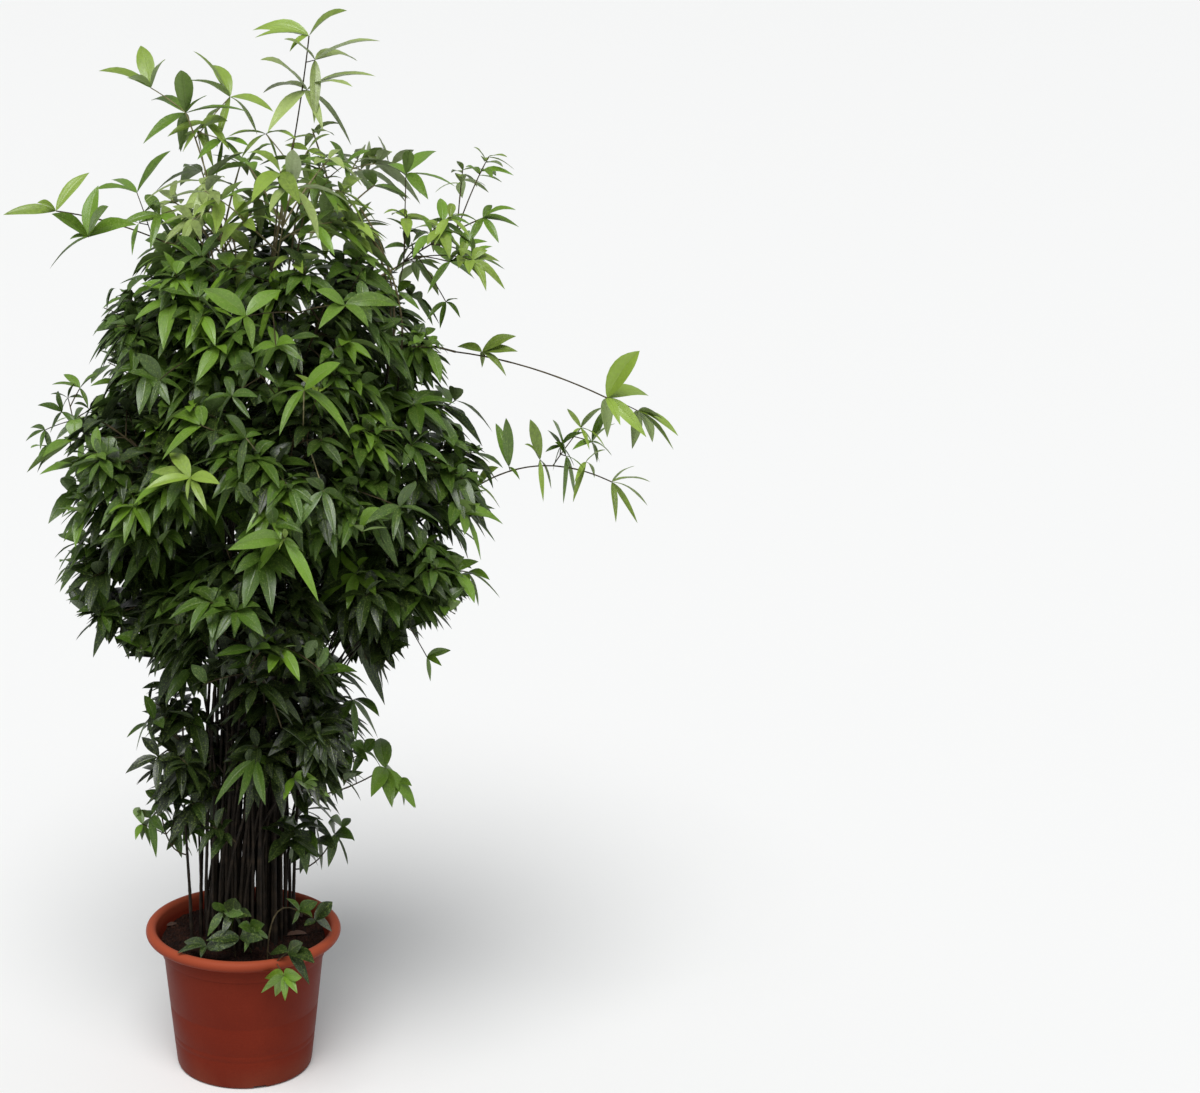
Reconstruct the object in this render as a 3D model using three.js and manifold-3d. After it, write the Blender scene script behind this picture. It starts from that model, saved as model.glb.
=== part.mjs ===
// A tall green dracaena in a nursery pot: a rolled-rim plastic pot full of soil, a clump of thin canes
// that fan out as they rise, and masses of foliage, most of them on a cane's tip and some on a cane's
// side or straight out of the soil. Millimetres, +Z up. The origin is under the middle of the pot, the
// front is -Y, and the long side branches reach towards +X.
import * as THREE from 'three';
import { mergeVertices } from 'three/addons/utils/BufferGeometryUtils.js';
import Module from 'manifold-3d';

const wasm = await Module();
wasm.setup();

// Driving dimensions
const clearance = 0.3;
const mergeWithin = 1e-3;
const smooth = 0.05;

const pot = {
  height: 262,
  rimRadius: 173,
  rollRadius: 9.5,
  baseRadius: 121,
  baseEdge: 6,
  neckRadius: 142,
  neckHeight: 212,
  collarStep: 4,
  collarDraft: 2,
  rollDrop: 3,
  wall: 3.5,
  floor: 7,
  notches: 4,
  notchTurn: 15, // degrees from +X to the first notch
  notchWidth: 23,
  notchDepth: 14,
  notchHeight: 5.5,
  facets: 34,
};
const rollAngles = [-105, -55, -5, 45, 90, 135, 178]; // degrees round the rim's roll, to its inside
const soilTop = 238;

// A cane stands upright for a share of its height, then bends over by shares of its height and spread
const cane = {
  footRadius: 5.2,
  flare: 1.35,
  tipRadius: 2.6,
  upright: 0.5,
  bendRise: 0.22,
  bendSpread: 0.34,
  sides: 5,
  segments: 5,
  apart: 3,
  searchStep: 1.6,
};

// A leaf's thickness, widest place and arch are shares of its length. It leaves its limb at an angle,
// is made shorter where its full length has no room, and keeps a share of its width free of the next.
const leafShape = {
  thickness: 0.014,
  widestAt: 0.44,
  arch: 0.09,
  angle: 1.05,
  shorter: [1, 0.8, 0.64],
  apart: 0.2,
};

// How far leaves depart from the rule, up or down: the angle from the limb, the droop, the roll about
// their own length in radians, the size, and the bearing in a whorl as a share of the way to the next
const uneven = { angle: 0.1, droop: 0.5, roll: 0.35, size: 0.15, turn: 0.3, reach: 0.1 };

// How each kind of mass grows: its leaves' length, their width and droop as shares of it, how many make
// a whorl, the radius of its twigs, and how much of a dense mass is core.
const kinds = {
  dense: { leaf: 128, width: 0.38, droop: 0.32, whorl: 4, twigRadius: 2.3, core: 0.5 },
  loose: { leaf: 124, width: 0.4, droop: 0.2, whorl: 5, twigRadius: 2.1, core: 0 },
  spray: { leaf: 106, width: 0.4, droop: 0.24, whorl: 5, twigRadius: 2.1, core: 0 },
  sprig: { leaf: 76, width: 0.42, droop: 0.75, whorl: 5, twigRadius: 1.9, core: 0 },
};

// The rings of masses that make the crown's body, from the pot up. turn is the first one's bearing,
// shift is how far the ring's middle stands to +X of the pot's, and rise is how far its twigs point up.
// foot is how far from the pot's middle a ring's canes stand, or it grows from the sides of other canes.
const rings = [
  {
    name: 'skirt', kind: 'dense', count: 3, twigs: 5, foot: 64,
    height: 625, radius: 122, reach: 142, turn: 67, shift: 20, rise: -0.4,
  },
  {
    name: 'belly', kind: 'dense', count: 5, twigs: 6, foot: 58,
    height: 884, radius: 209, reach: 176, turn: 50, shift: 58, rise: 0,
  },
  {
    name: 'breast', kind: 'dense', count: 5, twigs: 6, foot: 44,
    height: 1136, radius: 222, reach: 196, turn: -7, shift: 52, rise: 0,
  },
  {
    name: 'shoulder', kind: 'dense', count: 4, twigs: 5, foot: 28,
    height: 1350, radius: 168, reach: 188, turn: 24, shift: 66, rise: 0.75,
  },
  {
    name: 'crest', kind: 'loose', count: 3, twigs: 6,
    from: ['left_leader', 'leader', 'right_shoulder'], leave: 1400,
    height: 1550, radius: 107, reach: 166, turn: 160, shift: 70, rise: 1.2,
  },
];

// How a ring's masses stand: lift is how far they lie above or below the ring, lean is the slope of
// their stems, start, stem and twig are shares of their reach, and turned is how far round them their
// twigs spread, where 1 is half a ball.
const ringGrowth = { lift: 28, lean: 0.85, start: 0.6, stem: 0.85, twig: 0.53, turned: 1.5 };

// The shoots that stand out of the body one by one. Each has a cane of its own, that ends at start, and
// twigs to its tips, of which the first is its stem's.
const loneShoots = [
  {
    name: 'leader', kind: 'spray', foot: [14, -20], start: [98, 0, 1640],
    tips: [[128, 0, 1782], [131, -12, 1752], [117, 10, 1708]],
  },
  {
    name: 'left_leader', kind: 'spray', foot: [-16, 12], start: [-42, 10, 1560],
    tips: [[-76, -20, 1672], [-12, 30, 1696], [-130, 20, 1706]],
  },
  {
    name: 'far_left', kind: 'spray', foot: [-34, 2], start: [-120, 0, 1470],
    tips: [[-328, -20, 1520], [-240, -60, 1482], [-163, 40, 1548]],
  },
  {
    name: 'right_shoulder', kind: 'spray', foot: [30, 8], start: [262, 5, 1425],
    tips: [[402, 30, 1492], [286, 0, 1574], [371, -40, 1441], [337, 20, 1390]],
  },
  {
    name: 'side_upper', kind: 'spray', foot: [48, -20], start: [362, -34, 1292],
    tips: [[606, -90, 1218], [410, -60, 1296], [630, -66, 1184]],
  },
  {
    name: 'side_lower', kind: 'spray', foot: [64, 12], start: [392, 30, 1042],
    tips: [[600, 90, 1128], [465, 50, 1088], [520, 46, 1066], [652, 90, 1062]],
  },
  {
    name: 'left_spray', kind: 'sprig', foot: [-52, -10], start: [-205, -4, 1130],
    tips: [[-316, 0, 1150], [-262, 20, 1218], [-286, -24, 1180]],
  },
];

// Canes whose own leaves have dropped
const bareCanes = [{ name: 'bare_left', foot: [-90, -30], tip: [-98, -38, 500] }];

// Shoots off the side of a cane, which they leave at a height
const sideShoots = [
  {
    name: 'low_left', from: 'bare_left', leave: 405,
    tips: [[-166, -20, 468], [-144, 6, 480], [-120, 14, 430]],
  },
  {
    name: 'low_right', from: 'side_lower', leave: 500,
    tips: [[250, 0, 562], [192, -20, 598], [285, 6, 530]],
  },
  {
    name: 'pot_right', from: 'side_lower', leave: 360,
    tips: [[166, 0, 432], [108, -14, 438]],
  },
];

// Suckers: short leafy shoots straight out of the soil at root. One of them hangs over the rim.
const suckers = [
  {
    name: 'pot_front', root: [-10, -96], bend: 0.8,
    tips: [[-34, -112, 296], [-8, -90, 318], [22, -118, 292]],
  },
  {
    name: 'pot_rim', root: [46, -114], bend: 1.3,
    tips: [[78, -194, 240], [74, -146, 300], [104, -184, 272]],
  },
];
const bend = { straight: 0.5, side: 0.4 }; // as shares of the way to a stem's end
const spaceBeyond = 0.8; // how far a lone shoot's space goes past its twigs, as a share of a leaf's length

// Stems are widened by the room that a core keeps free about them. A twig bows up by a share of its
// length, tapers to a share of its radius, and carries its whorl just before its end.
const stemShape = { sides: 3, segments: 3, room: 0.9 };
const twigShape = { sides: 3, segments: 2, rise: 0.1, taper: 0.7, whorlAt: 0.97, whorlTurn: 1.1 };

// A twig leaves its stem before the place nearest to its tip, by a share of the distance between them
const branching = { places: 20, before: 0.5, first: 0.12, last: 0.92 };

// A dense mass's core is a lumpy ball, taller than it is wide, set in from the edge of its mass's space
const coreShape = { tallness: 1.34, lumps: 0.24, waves: 4, inset: 4, detail: 1 };
const seeds = { first: 1, step: 17 };

const up = new THREE.Vector3(0, 0, 1);
const goldenAngle = Math.PI * (3 - Math.sqrt(5));

// Repeatable random numbers from 0 to 1
function seededRandom(seed) {
  let state = seed;
  return () => {
    state = (state + 0x6d2b79f5) | 0;
    let mixed = Math.imul(state ^ (state >>> 15), 1 | state);
    mixed = (mixed + Math.imul(mixed ^ (mixed >>> 7), 61 | mixed)) ^ mixed;
    return ((mixed ^ (mixed >>> 14)) >>> 0) / 4294967296;
  };
}

function solidFrom(geometry) {
  const source = geometry.index ? geometry.toNonIndexed() : geometry;
  const bare = new THREE.BufferGeometry();
  bare.setAttribute('position', source.getAttribute('position'));
  const merged = mergeVertices(bare, mergeWithin);
  return new wasm.Manifold(
    new wasm.Mesh({
      numProp: 3,
      vertProperties: merged.attributes.position.array,
      triVerts: new Uint32Array(merged.index.array),
    }),
  );
}

function geometryFrom(solid) {
  const { vertProperties, triVerts } = solid.getMesh();
  const geometry = new THREE.BufferGeometry();
  geometry.setAttribute('position', new THREE.BufferAttribute(vertProperties, 3));
  geometry.setIndex(new THREE.BufferAttribute(triVerts, 1));
  geometry.computeVertexNormals();
  return geometry;
}

// The largest body of a solid. Its sealed hollows and loose scraps are left behind.
function largestBody(solid) {
  return solid.decompose().reduce((most, body) => (body.volume() > most.volume() ? body : most));
}

// Whether every edge of a solid is shared by two triangles alone
function isSound(solid) {
  const { vertProperties, triVerts } = solid.getMesh();
  const uses = new Map();
  const pointAt = (i) => vertProperties.subarray(3 * i, 3 * i + 3).join();
  for (let i = 0; i < triVerts.length; i++) {
    const next = i % 3 === 2 ? i - 2 : i + 1;
    const edge = [pointAt(triVerts[i]), pointAt(triVerts[next])].sort().join(' ');
    uses.set(edge, (uses.get(edge) ?? 0) + 1);
  }
  return [...uses.values()].every((count) => count === 2);
}

// The solids joined into one body without slivers. It is looked at twice, as merging close points can
// part a thin bridge. Where leaves only just touch, one of them is left out.
function fused(solids) {
  for (let leftOut = solids.length; leftOut > 0; leftOut--) {
    const kept = solids.filter((_, i) => i !== leftOut);
    const joined = largestBody(wasm.Manifold.union(kept).simplify(smooth));
    const body = largestBody(solidFrom(geometryFrom(joined)));
    if (isSound(body)) return body;
  }
  throw new Error('no sound body');
}

// A round profile turned about Z. The points are [radius, height], from the axis and back to it.
function turned(points, facets) {
  const geometry = new THREE.LatheGeometry(points.map(([r, z]) => new THREE.Vector2(r, z)), facets);
  return geometry.rotateX(Math.PI / 2);
}

// The pot

// The outside radius of the pot's body at a height below the collar
const bodyRadius = (z) => pot.baseRadius + ((pot.neckRadius - pot.baseRadius) * z) / pot.neckHeight;
const collar = pot.neckRadius + pot.collarStep;
const collarTop = pot.height - pot.rollDrop * pot.rollRadius;

// The radius of its straight inside at a height: from its floor to the top of the collar, and beyond
const insideRadius = (z) => {
  const low = [pot.floor, bodyRadius(pot.floor) - pot.wall];
  const high = [collarTop - pot.wall, collar - pot.wall];
  return THREE.MathUtils.mapLinear(z, low[0], high[0], low[1], high[1]);
};

function potSolid() {
  const rollAt = (degrees) => {
    const angle = THREE.MathUtils.degToRad(degrees);
    return [
      pot.rimRadius + pot.rollRadius * (Math.cos(angle) - 1),
      pot.height + pot.rollRadius * (Math.sin(angle) - 1),
    ];
  };
  const profile = [
    [0, 0],
    [pot.baseRadius - pot.baseEdge, 0],
    [pot.baseRadius, pot.baseEdge],
    [pot.neckRadius, pot.neckHeight],
    [collar, pot.neckHeight + pot.collarStep],
    [collar + pot.collarDraft, collarTop],
    ...rollAngles.map(rollAt),
    [insideRadius(collarTop - pot.wall), collarTop - pot.wall],
    [insideRadius(pot.floor), pot.floor],
    [0, pot.floor],
  ];
  let solid = solidFrom(turned(profile, pot.facets));
  for (let i = 0; i < pot.notches; i++) {
    const bearing = THREE.MathUtils.degToRad(pot.notchTurn + (360 * i) / pot.notches);
    const notch = new THREE.BoxGeometry(pot.notchDepth * 2, pot.notchWidth, pot.notchHeight * 2);
    notch.translate(pot.baseRadius, 0, 0).rotateZ(bearing);
    solid = solid.subtract(solidFrom(notch));
  }
  return solid;
}

// The root ball fills the pot up to its collar, with a flat top that the canes stand on
function soilSolid() {
  const inner = (z) => insideRadius(z) * Math.cos(Math.PI / pot.facets) - clearance;
  const bottom = pot.floor + clearance;
  const profile = [[0, bottom], [inner(bottom), bottom], [inner(soilTop), soilTop], [0, soilTop]];
  return solidFrom(turned(profile, pot.facets));
}

// Limbs and leaves

// A closed tapering limb along its curve, with a flat cut at each end
function limbSolid(limb, sides, segments) {
  const geometry = new THREE.CylinderGeometry(1, 1, 1, sides, segments);
  const { normals, binormals } = limb.curve.computeFrenetFrames(segments);
  const position = geometry.getAttribute('position');
  const point = new THREE.Vector3();
  for (let i = 0; i < position.count; i++) {
    point.fromBufferAttribute(position, i);
    const along = point.y + 0.5;
    const ring = Math.round(along * segments);
    const radius = limb.radiusAt(along);
    const place = limb.curve.getPointAt(along);
    place.addScaledVector(normals[ring], point.x * radius);
    place.addScaledVector(binormals[ring], -point.z * radius);
    position.setXYZ(i, place.x, place.y, place.z);
  }
  return solidFrom(geometry);
}

// The straight pieces that a limb is made of, to keep clear of
function limbPieces(limb, segments) {
  const points = limb.curve.getSpacedPoints(segments);
  return { name: limb.name, points, radii: points.map((_, i) => limb.radiusAt(i / segments)) };
}

const line = new THREE.Line3();
const piece = new THREE.Line3();

// Whether a straight line of a given half width stays clear of every limb in a list
function clearOf(limbs, from, to, halfWidth) {
  line.set(from, to);
  return limbs.every(({ points, radii }) =>
    points.slice(1).every((end, i) => {
      piece.set(points[i], end);
      return Math.sqrt(line.distanceSqToLine3(piece)) > halfWidth + radii[i] + clearance;
    }),
  );
}

// A leaf is a thin eight-faced blade from its root to its tip, arched along its length
function leafSolid({ root, direction, across, face, length, width }) {
  const placing = new THREE.Matrix4().makeBasis(across, direction, face).setPosition(root);
  const geometry = new THREE.OctahedronGeometry(1);
  const position = geometry.getAttribute('position');
  const point = new THREE.Vector3();
  for (let i = 0; i < position.count; i++) {
    point.fromBufferAttribute(position, i);
    const middle = Math.abs(point.y) < 0.5;
    const along = middle ? leafShape.widestAt : (point.y + 1) / 2;
    const rise = (middle ? leafShape.arch : 0) + (point.z * leafShape.thickness) / 2;
    point.set((point.x * width) / 2, along * length, rise * length).applyMatrix4(placing);
    position.setXYZ(i, point.x, point.y, point.z);
  }
  return solidFrom(geometry);
}

// A direction at an angle from a limb's own, at a bearing about it
function sideways(tangent, bearing, angle) {
  const helper = Math.abs(tangent.z) < 0.9 ? up : new THREE.Vector3(1, 0, 0);
  const across = new THREE.Vector3().crossVectors(tangent, helper).normalize();
  return across
    .applyAxisAngle(tangent, bearing)
    .multiplyScalar(Math.sin(angle))
    .addScaledVector(tangent, Math.cos(angle));
}

// The shoots and their canes

// A shoot's stem starts in the direction lead and bends towards its end
function stemTo(end, start, lead, share) {
  const turn = start.clone().addScaledVector(lead, share * start.distanceTo(end));
  return { start, lead, curve: new THREE.QuadraticBezierCurve3(start, turn, end) };
}

// A ring's masses turn their twigs to the outside of the crown, evenly over half a ball
function ringMasses(ring) {
  const masses = [];
  for (let i = 0; i < ring.count; i++) {
    const random = seededRandom(ring.height + seeds.step * i);
    const bearing = THREE.MathUtils.degToRad(ring.turn + (360 * i) / ring.count);
    const outward = new THREE.Vector3(Math.cos(bearing), Math.sin(bearing), 0);
    const centre = outward.clone().multiplyScalar(ring.radius);
    centre.x += ring.shift;
    centre.z = ring.height + ringGrowth.lift * Math.sin(goldenAngle * i + ring.height);
    const facing = outward.clone().addScaledVector(up, ring.rise).normalize();
    const tips = [];
    for (let t = 0; t < ring.twigs; t++) {
      const angle = Math.acos(1 - (ringGrowth.turned * (t + 0.5)) / ring.twigs);
      const away = sideways(facing, t * goldenAngle + i, angle);
      const length = ringGrowth.twig * ring.reach * (1 + uneven.reach * (2 * random() - 1));
      tips.push(centre.clone().addScaledVector(away, length));
    }
    masses.push({ ...ring, name: `${ring.name}_${i + 1}`, from: ring.from?.[i], centre, tips, outward });
  }
  return masses;
}

// The shoots whose foliage starts straight on from the tip of a cane of their own
function caneShoots() {
  const inRings = rings.flatMap(ringMasses).filter((mass) => !mass.from);
  const ringed = inRings.map((mass) => {
    const lead = mass.outward.clone().multiplyScalar(ringGrowth.lean).add(up).normalize();
    const start = mass.centre.clone().addScaledVector(lead, -ringGrowth.start * mass.reach);
    const end = start.clone().addScaledVector(lead, ringGrowth.stem * mass.reach);
    const foot = [mass.foot * mass.outward.x, mass.foot * mass.outward.y];
    return { ...mass, foot, ...stemTo(end, start, lead, bend.straight) };
  });
  const lone = loneShoots.map((shoot) => {
    const [end, ...tips] = shoot.tips.map((tip) => new THREE.Vector3(...tip));
    const start = new THREE.Vector3(...shoot.start);
    const lead = end.clone().sub(start).normalize();
    return { ...shoot, ...spaceAround(shoot.kind, end, tips), ...stemTo(end, start, lead, bend.straight) };
  });
  return [...ringed, ...lone];
}

// A shoot's space is a ball that holds the ends of its stem and twigs, and the leaves about them
function spaceAround(kind, end, tips) {
  const ends = [end, ...tips];
  const centre = ends.reduce((sum, tip) => sum.add(tip), new THREE.Vector3()).divideScalar(ends.length);
  const spread = Math.max(...ends.map((tip) => tip.distanceTo(centre)));
  return { tips, centre, reach: spread + spaceBeyond * kinds[kind].leaf };
}

// A cane rises from the soil, then bends over towards its tip
function caneLimb(foot, tip, lead) {
  const start = new THREE.Vector3(foot[0], foot[1], soilTop + clearance);
  const rise = tip.z - start.z;
  const spread = Math.hypot(tip.x - start.x, tip.y - start.y);
  const curve = new THREE.CubicBezierCurve3(
    start,
    start.clone().addScaledVector(up, cane.upright * rise),
    tip.clone().addScaledVector(lead, -(cane.bendRise * rise + cane.bendSpread * spread)),
    tip,
  );
  const radiusAt = (along) => {
    const base = THREE.MathUtils.lerp(cane.footRadius, cane.tipRadius, along);
    return along === 0 ? base * cane.flare : base;
  };
  return { curve, radiusAt };
}

// Each cane in turn stands at the free place nearest to its wanted foot, clear of those before it
function placeCanes(wanted) {
  const canes = [];
  for (const { name, foot, tip, lead } of wanted) {
    for (let turn = 0; ; turn++) {
      const away = cane.searchStep * Math.sqrt(turn);
      const place = [
        foot[0] + away * Math.cos(turn * goldenAngle),
        foot[1] + away * Math.sin(turn * goldenAngle),
      ];
      const limb = { name: `cane_${name}`, ...caneLimb(place, tip, lead) };
      const { points, radii } = limbPieces(limb, cane.segments);
      const free = points
        .slice(1)
        .every((end, i) => clearOf(canes, points[i], end, radii[i] + cane.apart));
      if (free) {
        canes.push({ ...limb, points, radii, solid: limbSolid(limb, cane.sides, cane.segments) });
        break;
      }
    }
  }
  return canes;
}

// The shoots off the sides of canes and the suckers, whose stems bend on their way to their leaves
function bentShoots(canes) {
  const fromSide = (shoot, end) => {
    const { points, solid } = canes.find(({ name }) => name === `cane_${shoot.from}`);
    const above = points.findIndex(({ z }) => z > shoot.leave);
    const [below, next] = [points[above - 1], points[above]];
    const middle = below.clone().lerp(next, (shoot.leave - below.z) / (next.z - below.z));
    const lead = end.clone().sub(middle).projectOnPlane(next.clone().sub(below).normalize()).normalize();
    for (let out = cane.tipRadius; ; out += clearance / 4) {
      const start = middle.clone().addScaledVector(lead, out);
      const placed = { ...shoot, ...stemTo(end, start, lead, bend.side) };
      const stem = limbSolid(stemLimb(placed), stemShape.sides, stemShape.segments);
      if (solid.minGap(stem, 2 * clearance) >= clearance) return placed;
    }
  };
  const inRings = rings.flatMap(ringMasses).filter((mass) => mass.from);
  const ringed = inRings.map((mass) => fromSide(mass, mass.centre));
  const sides = sideShoots.map((shoot) => {
    const [end, ...tips] = shoot.tips.map((tip) => new THREE.Vector3(...tip));
    return { ...fromSide({ ...shoot, kind: 'sprig' }, end), ...spaceAround('sprig', end, tips) };
  });
  const rooted = suckers.map((shoot) => {
    const [end, ...tips] = shoot.tips.map((tip) => new THREE.Vector3(...tip));
    const start = new THREE.Vector3(...shoot.root, soilTop + clearance);
    const placed = { ...spaceAround('sprig', end, tips), ...stemTo(end, start, up, shoot.bend) };
    return { ...shoot, kind: 'sprig', ...placed };
  });
  return [...ringed, ...sides, ...rooted];
}

// The foliage

// Each mass keeps to a ball about its centre and, where two balls meet, to its own side of the plane
// in which they cross.
function inOwnSpace(point, mass, masses) {
  const power = (other) => point.distanceToSquared(other.centre) - other.reach ** 2;
  const own = power(mass);
  if (own > 0) return false;
  return masses.every((other) => {
    if (other === mass) return true;
    const beyond = (power(other) - own) / (2 * other.centre.distanceTo(mass.centre));
    return beyond > clearance;
  });
}

// The core of a dense mass: a lumpy ball, cut back to the mass's own space and clear of what grows by
function coreSolid(mass, masses, inTheWay) {
  const radius = kinds[mass.kind].core * mass.reach;
  const ball = new THREE.IcosahedronGeometry(radius, coreShape.detail);
  const position = ball.getAttribute('position');
  const point = new THREE.Vector3();
  for (let i = 0; i < position.count; i++) {
    point.fromBufferAttribute(position, i);
    const { x, y, z } = point.clone().multiplyScalar(coreShape.waves / radius).addScalar(mass.seed);
    point.multiplyScalar(1 + (coreShape.lumps / 3) * (Math.sin(x) + Math.sin(y) + Math.sin(z)));
    position.setXYZ(i, point.x, point.y, point.z * coreShape.tallness);
  }
  ball.translate(...mass.centre);
  const cuts = masses.filter((other) => other.centre.distanceTo(mass.centre) < radius + other.reach);
  const inSpace = cuts.reduce((solid, other) => {
    if (other === mass) return solid;
    const away = mass.centre.clone().sub(other.centre);
    const apart = away.length();
    const plane = (apart ** 2 + other.reach ** 2 - mass.reach ** 2) / (2 * apart);
    const offset = other.centre.dot(away.normalize()) + plane + coreShape.inset;
    return solid.trimByPlane(away.toArray(), offset);
  }, solidFrom(ball));
  return largestBody(inSpace.subtract(inTheWay));
}

// The stem of a mass, which takes over from its cane
function stemLimb({ name, curve, kind }) {
  const radiusAt = (along) => THREE.MathUtils.lerp(cane.tipRadius, kinds[kind].twigRadius, along);
  return { name, curve, radiusAt };
}

// A mass: its stem, the twigs off it to its tips, and a whorl of leaves on the end of each
function growFoliage(mass, masses, limbs, vessel) {
  const kind = kinds[mass.kind];
  const random = seededRandom(mass.seed);
  const vary = (amount) => 1 + amount * (2 * random() - 1);
  const nearVessel = mass.centre.z - mass.reach < pot.height;
  const solids = [];
  const blades = [];

  const fits = (points, halfWidth) =>
    points.every((p) => inOwnSpace(p, mass, masses)) &&
    points.slice(1).every((p, i) => clearOf(limbs, points[i], p, halfWidth));

  const add = (solid) => {
    if (nearVessel && vessel.minGap(solid, 2 * clearance) < clearance) return false;
    solids.push(solid);
    return true;
  };

  const growLeaf = (root, tangent, bearing, size) => {
    const direction = sideways(tangent, bearing, leafShape.angle * vary(uneven.angle));
    direction.z -= kind.droop * vary(uneven.droop);
    direction.normalize();
    const face = up.clone().addScaledVector(direction, -direction.z).normalize();
    face.applyAxisAngle(direction, uneven.roll * (2 * random() - 1));
    const across = new THREE.Vector3().crossVectors(direction, face);
    for (const shorter of leafShape.shorter) {
      const length = kind.leaf * size * shorter;
      const width = length * kind.width;
      const middle = root.clone().addScaledVector(direction, leafShape.widestAt * length);
      middle.addScaledVector(face, leafShape.arch * length);
      const tip = root.clone().addScaledVector(direction, length);
      if (tip.distanceTo(mass.centre) < kind.core * mass.reach) continue;
      const edges = [-0.5, 0.5].map((side) => middle.clone().addScaledVector(across, side * width));
      const inside = edges.every((p) => inOwnSpace(p, mass, masses));
      if (!inside || !fits([root, middle, tip], width / 2)) continue;
      if (!clearOf(blades, middle, tip, leafShape.apart * width)) continue;
      if (!add(leafSolid({ root, direction, across, face, length, width }))) continue;
      blades.push({ points: [middle, tip], radii: [leafShape.apart * width, 0] });
      return;
    }
  };

  const growWhorl = (limb, along, turn) => {
    const place = limb.curve.getPointAt(along);
    const tangent = limb.curve.getTangentAt(along);
    for (let k = 0; k < kind.whorl; k++) {
      const bearing = turn + (2 * Math.PI * (k + uneven.turn * random())) / kind.whorl;
      growLeaf(place, tangent, bearing, vary(uneven.size));
    }
  };

  const stem = stemLimb(mass);
  solids.push(limbSolid(stem, stemShape.sides, stemShape.segments));
  if (!kind.core) growWhorl(stem, twigShape.whorlAt, 0);
  mass.tips.forEach((tip, t) => {
    const along = branchPoint(stem.curve, tip);
    const root = stem.curve.getPointAt(along);
    const middle = root.clone().lerp(tip, 0.5).addScaledVector(up, twigShape.rise * root.distanceTo(tip));
    if (!fits([root, middle, tip], kind.twigRadius)) return;
    const curve = new THREE.QuadraticBezierCurve3(root, middle, tip);
    const radiusAt = (share) => kind.twigRadius * THREE.MathUtils.lerp(1, twigShape.taper, share);
    const twig = { curve, radiusAt };
    if (!add(limbSolid(twig, twigShape.sides, twigShape.segments))) return;
    growWhorl(twig, twigShape.whorlAt, twigShape.whorlTurn * t);
  });
  return solids;
}

// How far along a stem the twig to a tip leaves it: a little before the place nearest to the tip
function branchPoint(curve, tip) {
  const distances = curve.getSpacedPoints(branching.places).map((place) => place.distanceTo(tip));
  const nearest = distances.indexOf(Math.min(...distances));
  const back = (branching.before * distances[nearest]) / curve.getLength();
  return THREE.MathUtils.clamp(nearest / branching.places - back, branching.first, branching.last);
}

// The parts put together

const materials = {
  plastic: { color: 0x9c4630, roughness: 0.55, metalness: 0 },
  soil: { color: 0x2e2019, roughness: 1, metalness: 0 },
  bark: { color: 0x3a2b22, roughness: 0.85, metalness: 0 },
  leaf: { color: 0x3f6b22, roughness: 0.45, metalness: 0 },
};
const plant = new THREE.Group();

function put(name, solid, material) {
  const mesh = new THREE.Mesh(geometryFrom(solid), new THREE.MeshStandardMaterial(materials[material]));
  mesh.name = name;
  plant.add(mesh);
}

const potBody = potSolid();
const soilBody = soilSolid();
put('pot', potBody, 'plastic');
put('soil', soilBody, 'soil');

const crown = caneShoots();
const canes = placeCanes([
  ...crown.map(({ name, foot, start, lead }) => ({
    name,
    foot,
    tip: start.clone().addScaledVector(lead, -clearance),
    lead,
  })),
  ...bareCanes.map(({ name, foot, tip }) => ({ name, foot, tip: new THREE.Vector3(...tip), lead: up })),
]);
for (const { name, solid } of canes) {
  put(name, solid, 'bark');
}

const masses = [...crown, ...bentShoots(canes)].map((mass, i) => ({
  ...mass,
  seed: seeds.first + seeds.step * i,
}));
const stems = masses.map((mass) => {
  const stem = stemLimb(mass);
  return { ...stem, ...limbPieces(stem, stemShape.segments) };
});
const wide = (limb, shape) => {
  const radiusAt = (along) => limb.radiusAt(along) + stemShape.room;
  return limbSolid({ ...limb, radiusAt }, shape.sides, shape.segments);
};
const thicket = wasm.Manifold.union(canes.map((limb) => wide(limb, cane)));
const vessel = wasm.Manifold.union([potBody, soilBody]);
for (const mass of masses) {
  const others = stems.filter(({ name }) => name !== mass.name);
  const solids = growFoliage(mass, masses, [...canes, ...others], vessel);
  if (kinds[mass.kind].core) {
    const inTheWay = [thicket, ...others.map((stem) => wide(stem, stemShape))];
    solids.unshift(coreSolid(mass, masses, wasm.Manifold.union(inTheWay)));
  }
  put(`foliage_${mass.name}`, fused(solids), 'leaf');
}

export default plant;
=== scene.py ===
# A potted dracaena: a rolled-rim plastic pot of soil, a clump of thin canes, and the twigs and leaves
# that grow on from them. Metres, +Z up, in the frame of the solids that it dresses.
import math

import bmesh
import bpy
import numpy as np
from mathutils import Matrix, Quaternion, Vector, noise


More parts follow.
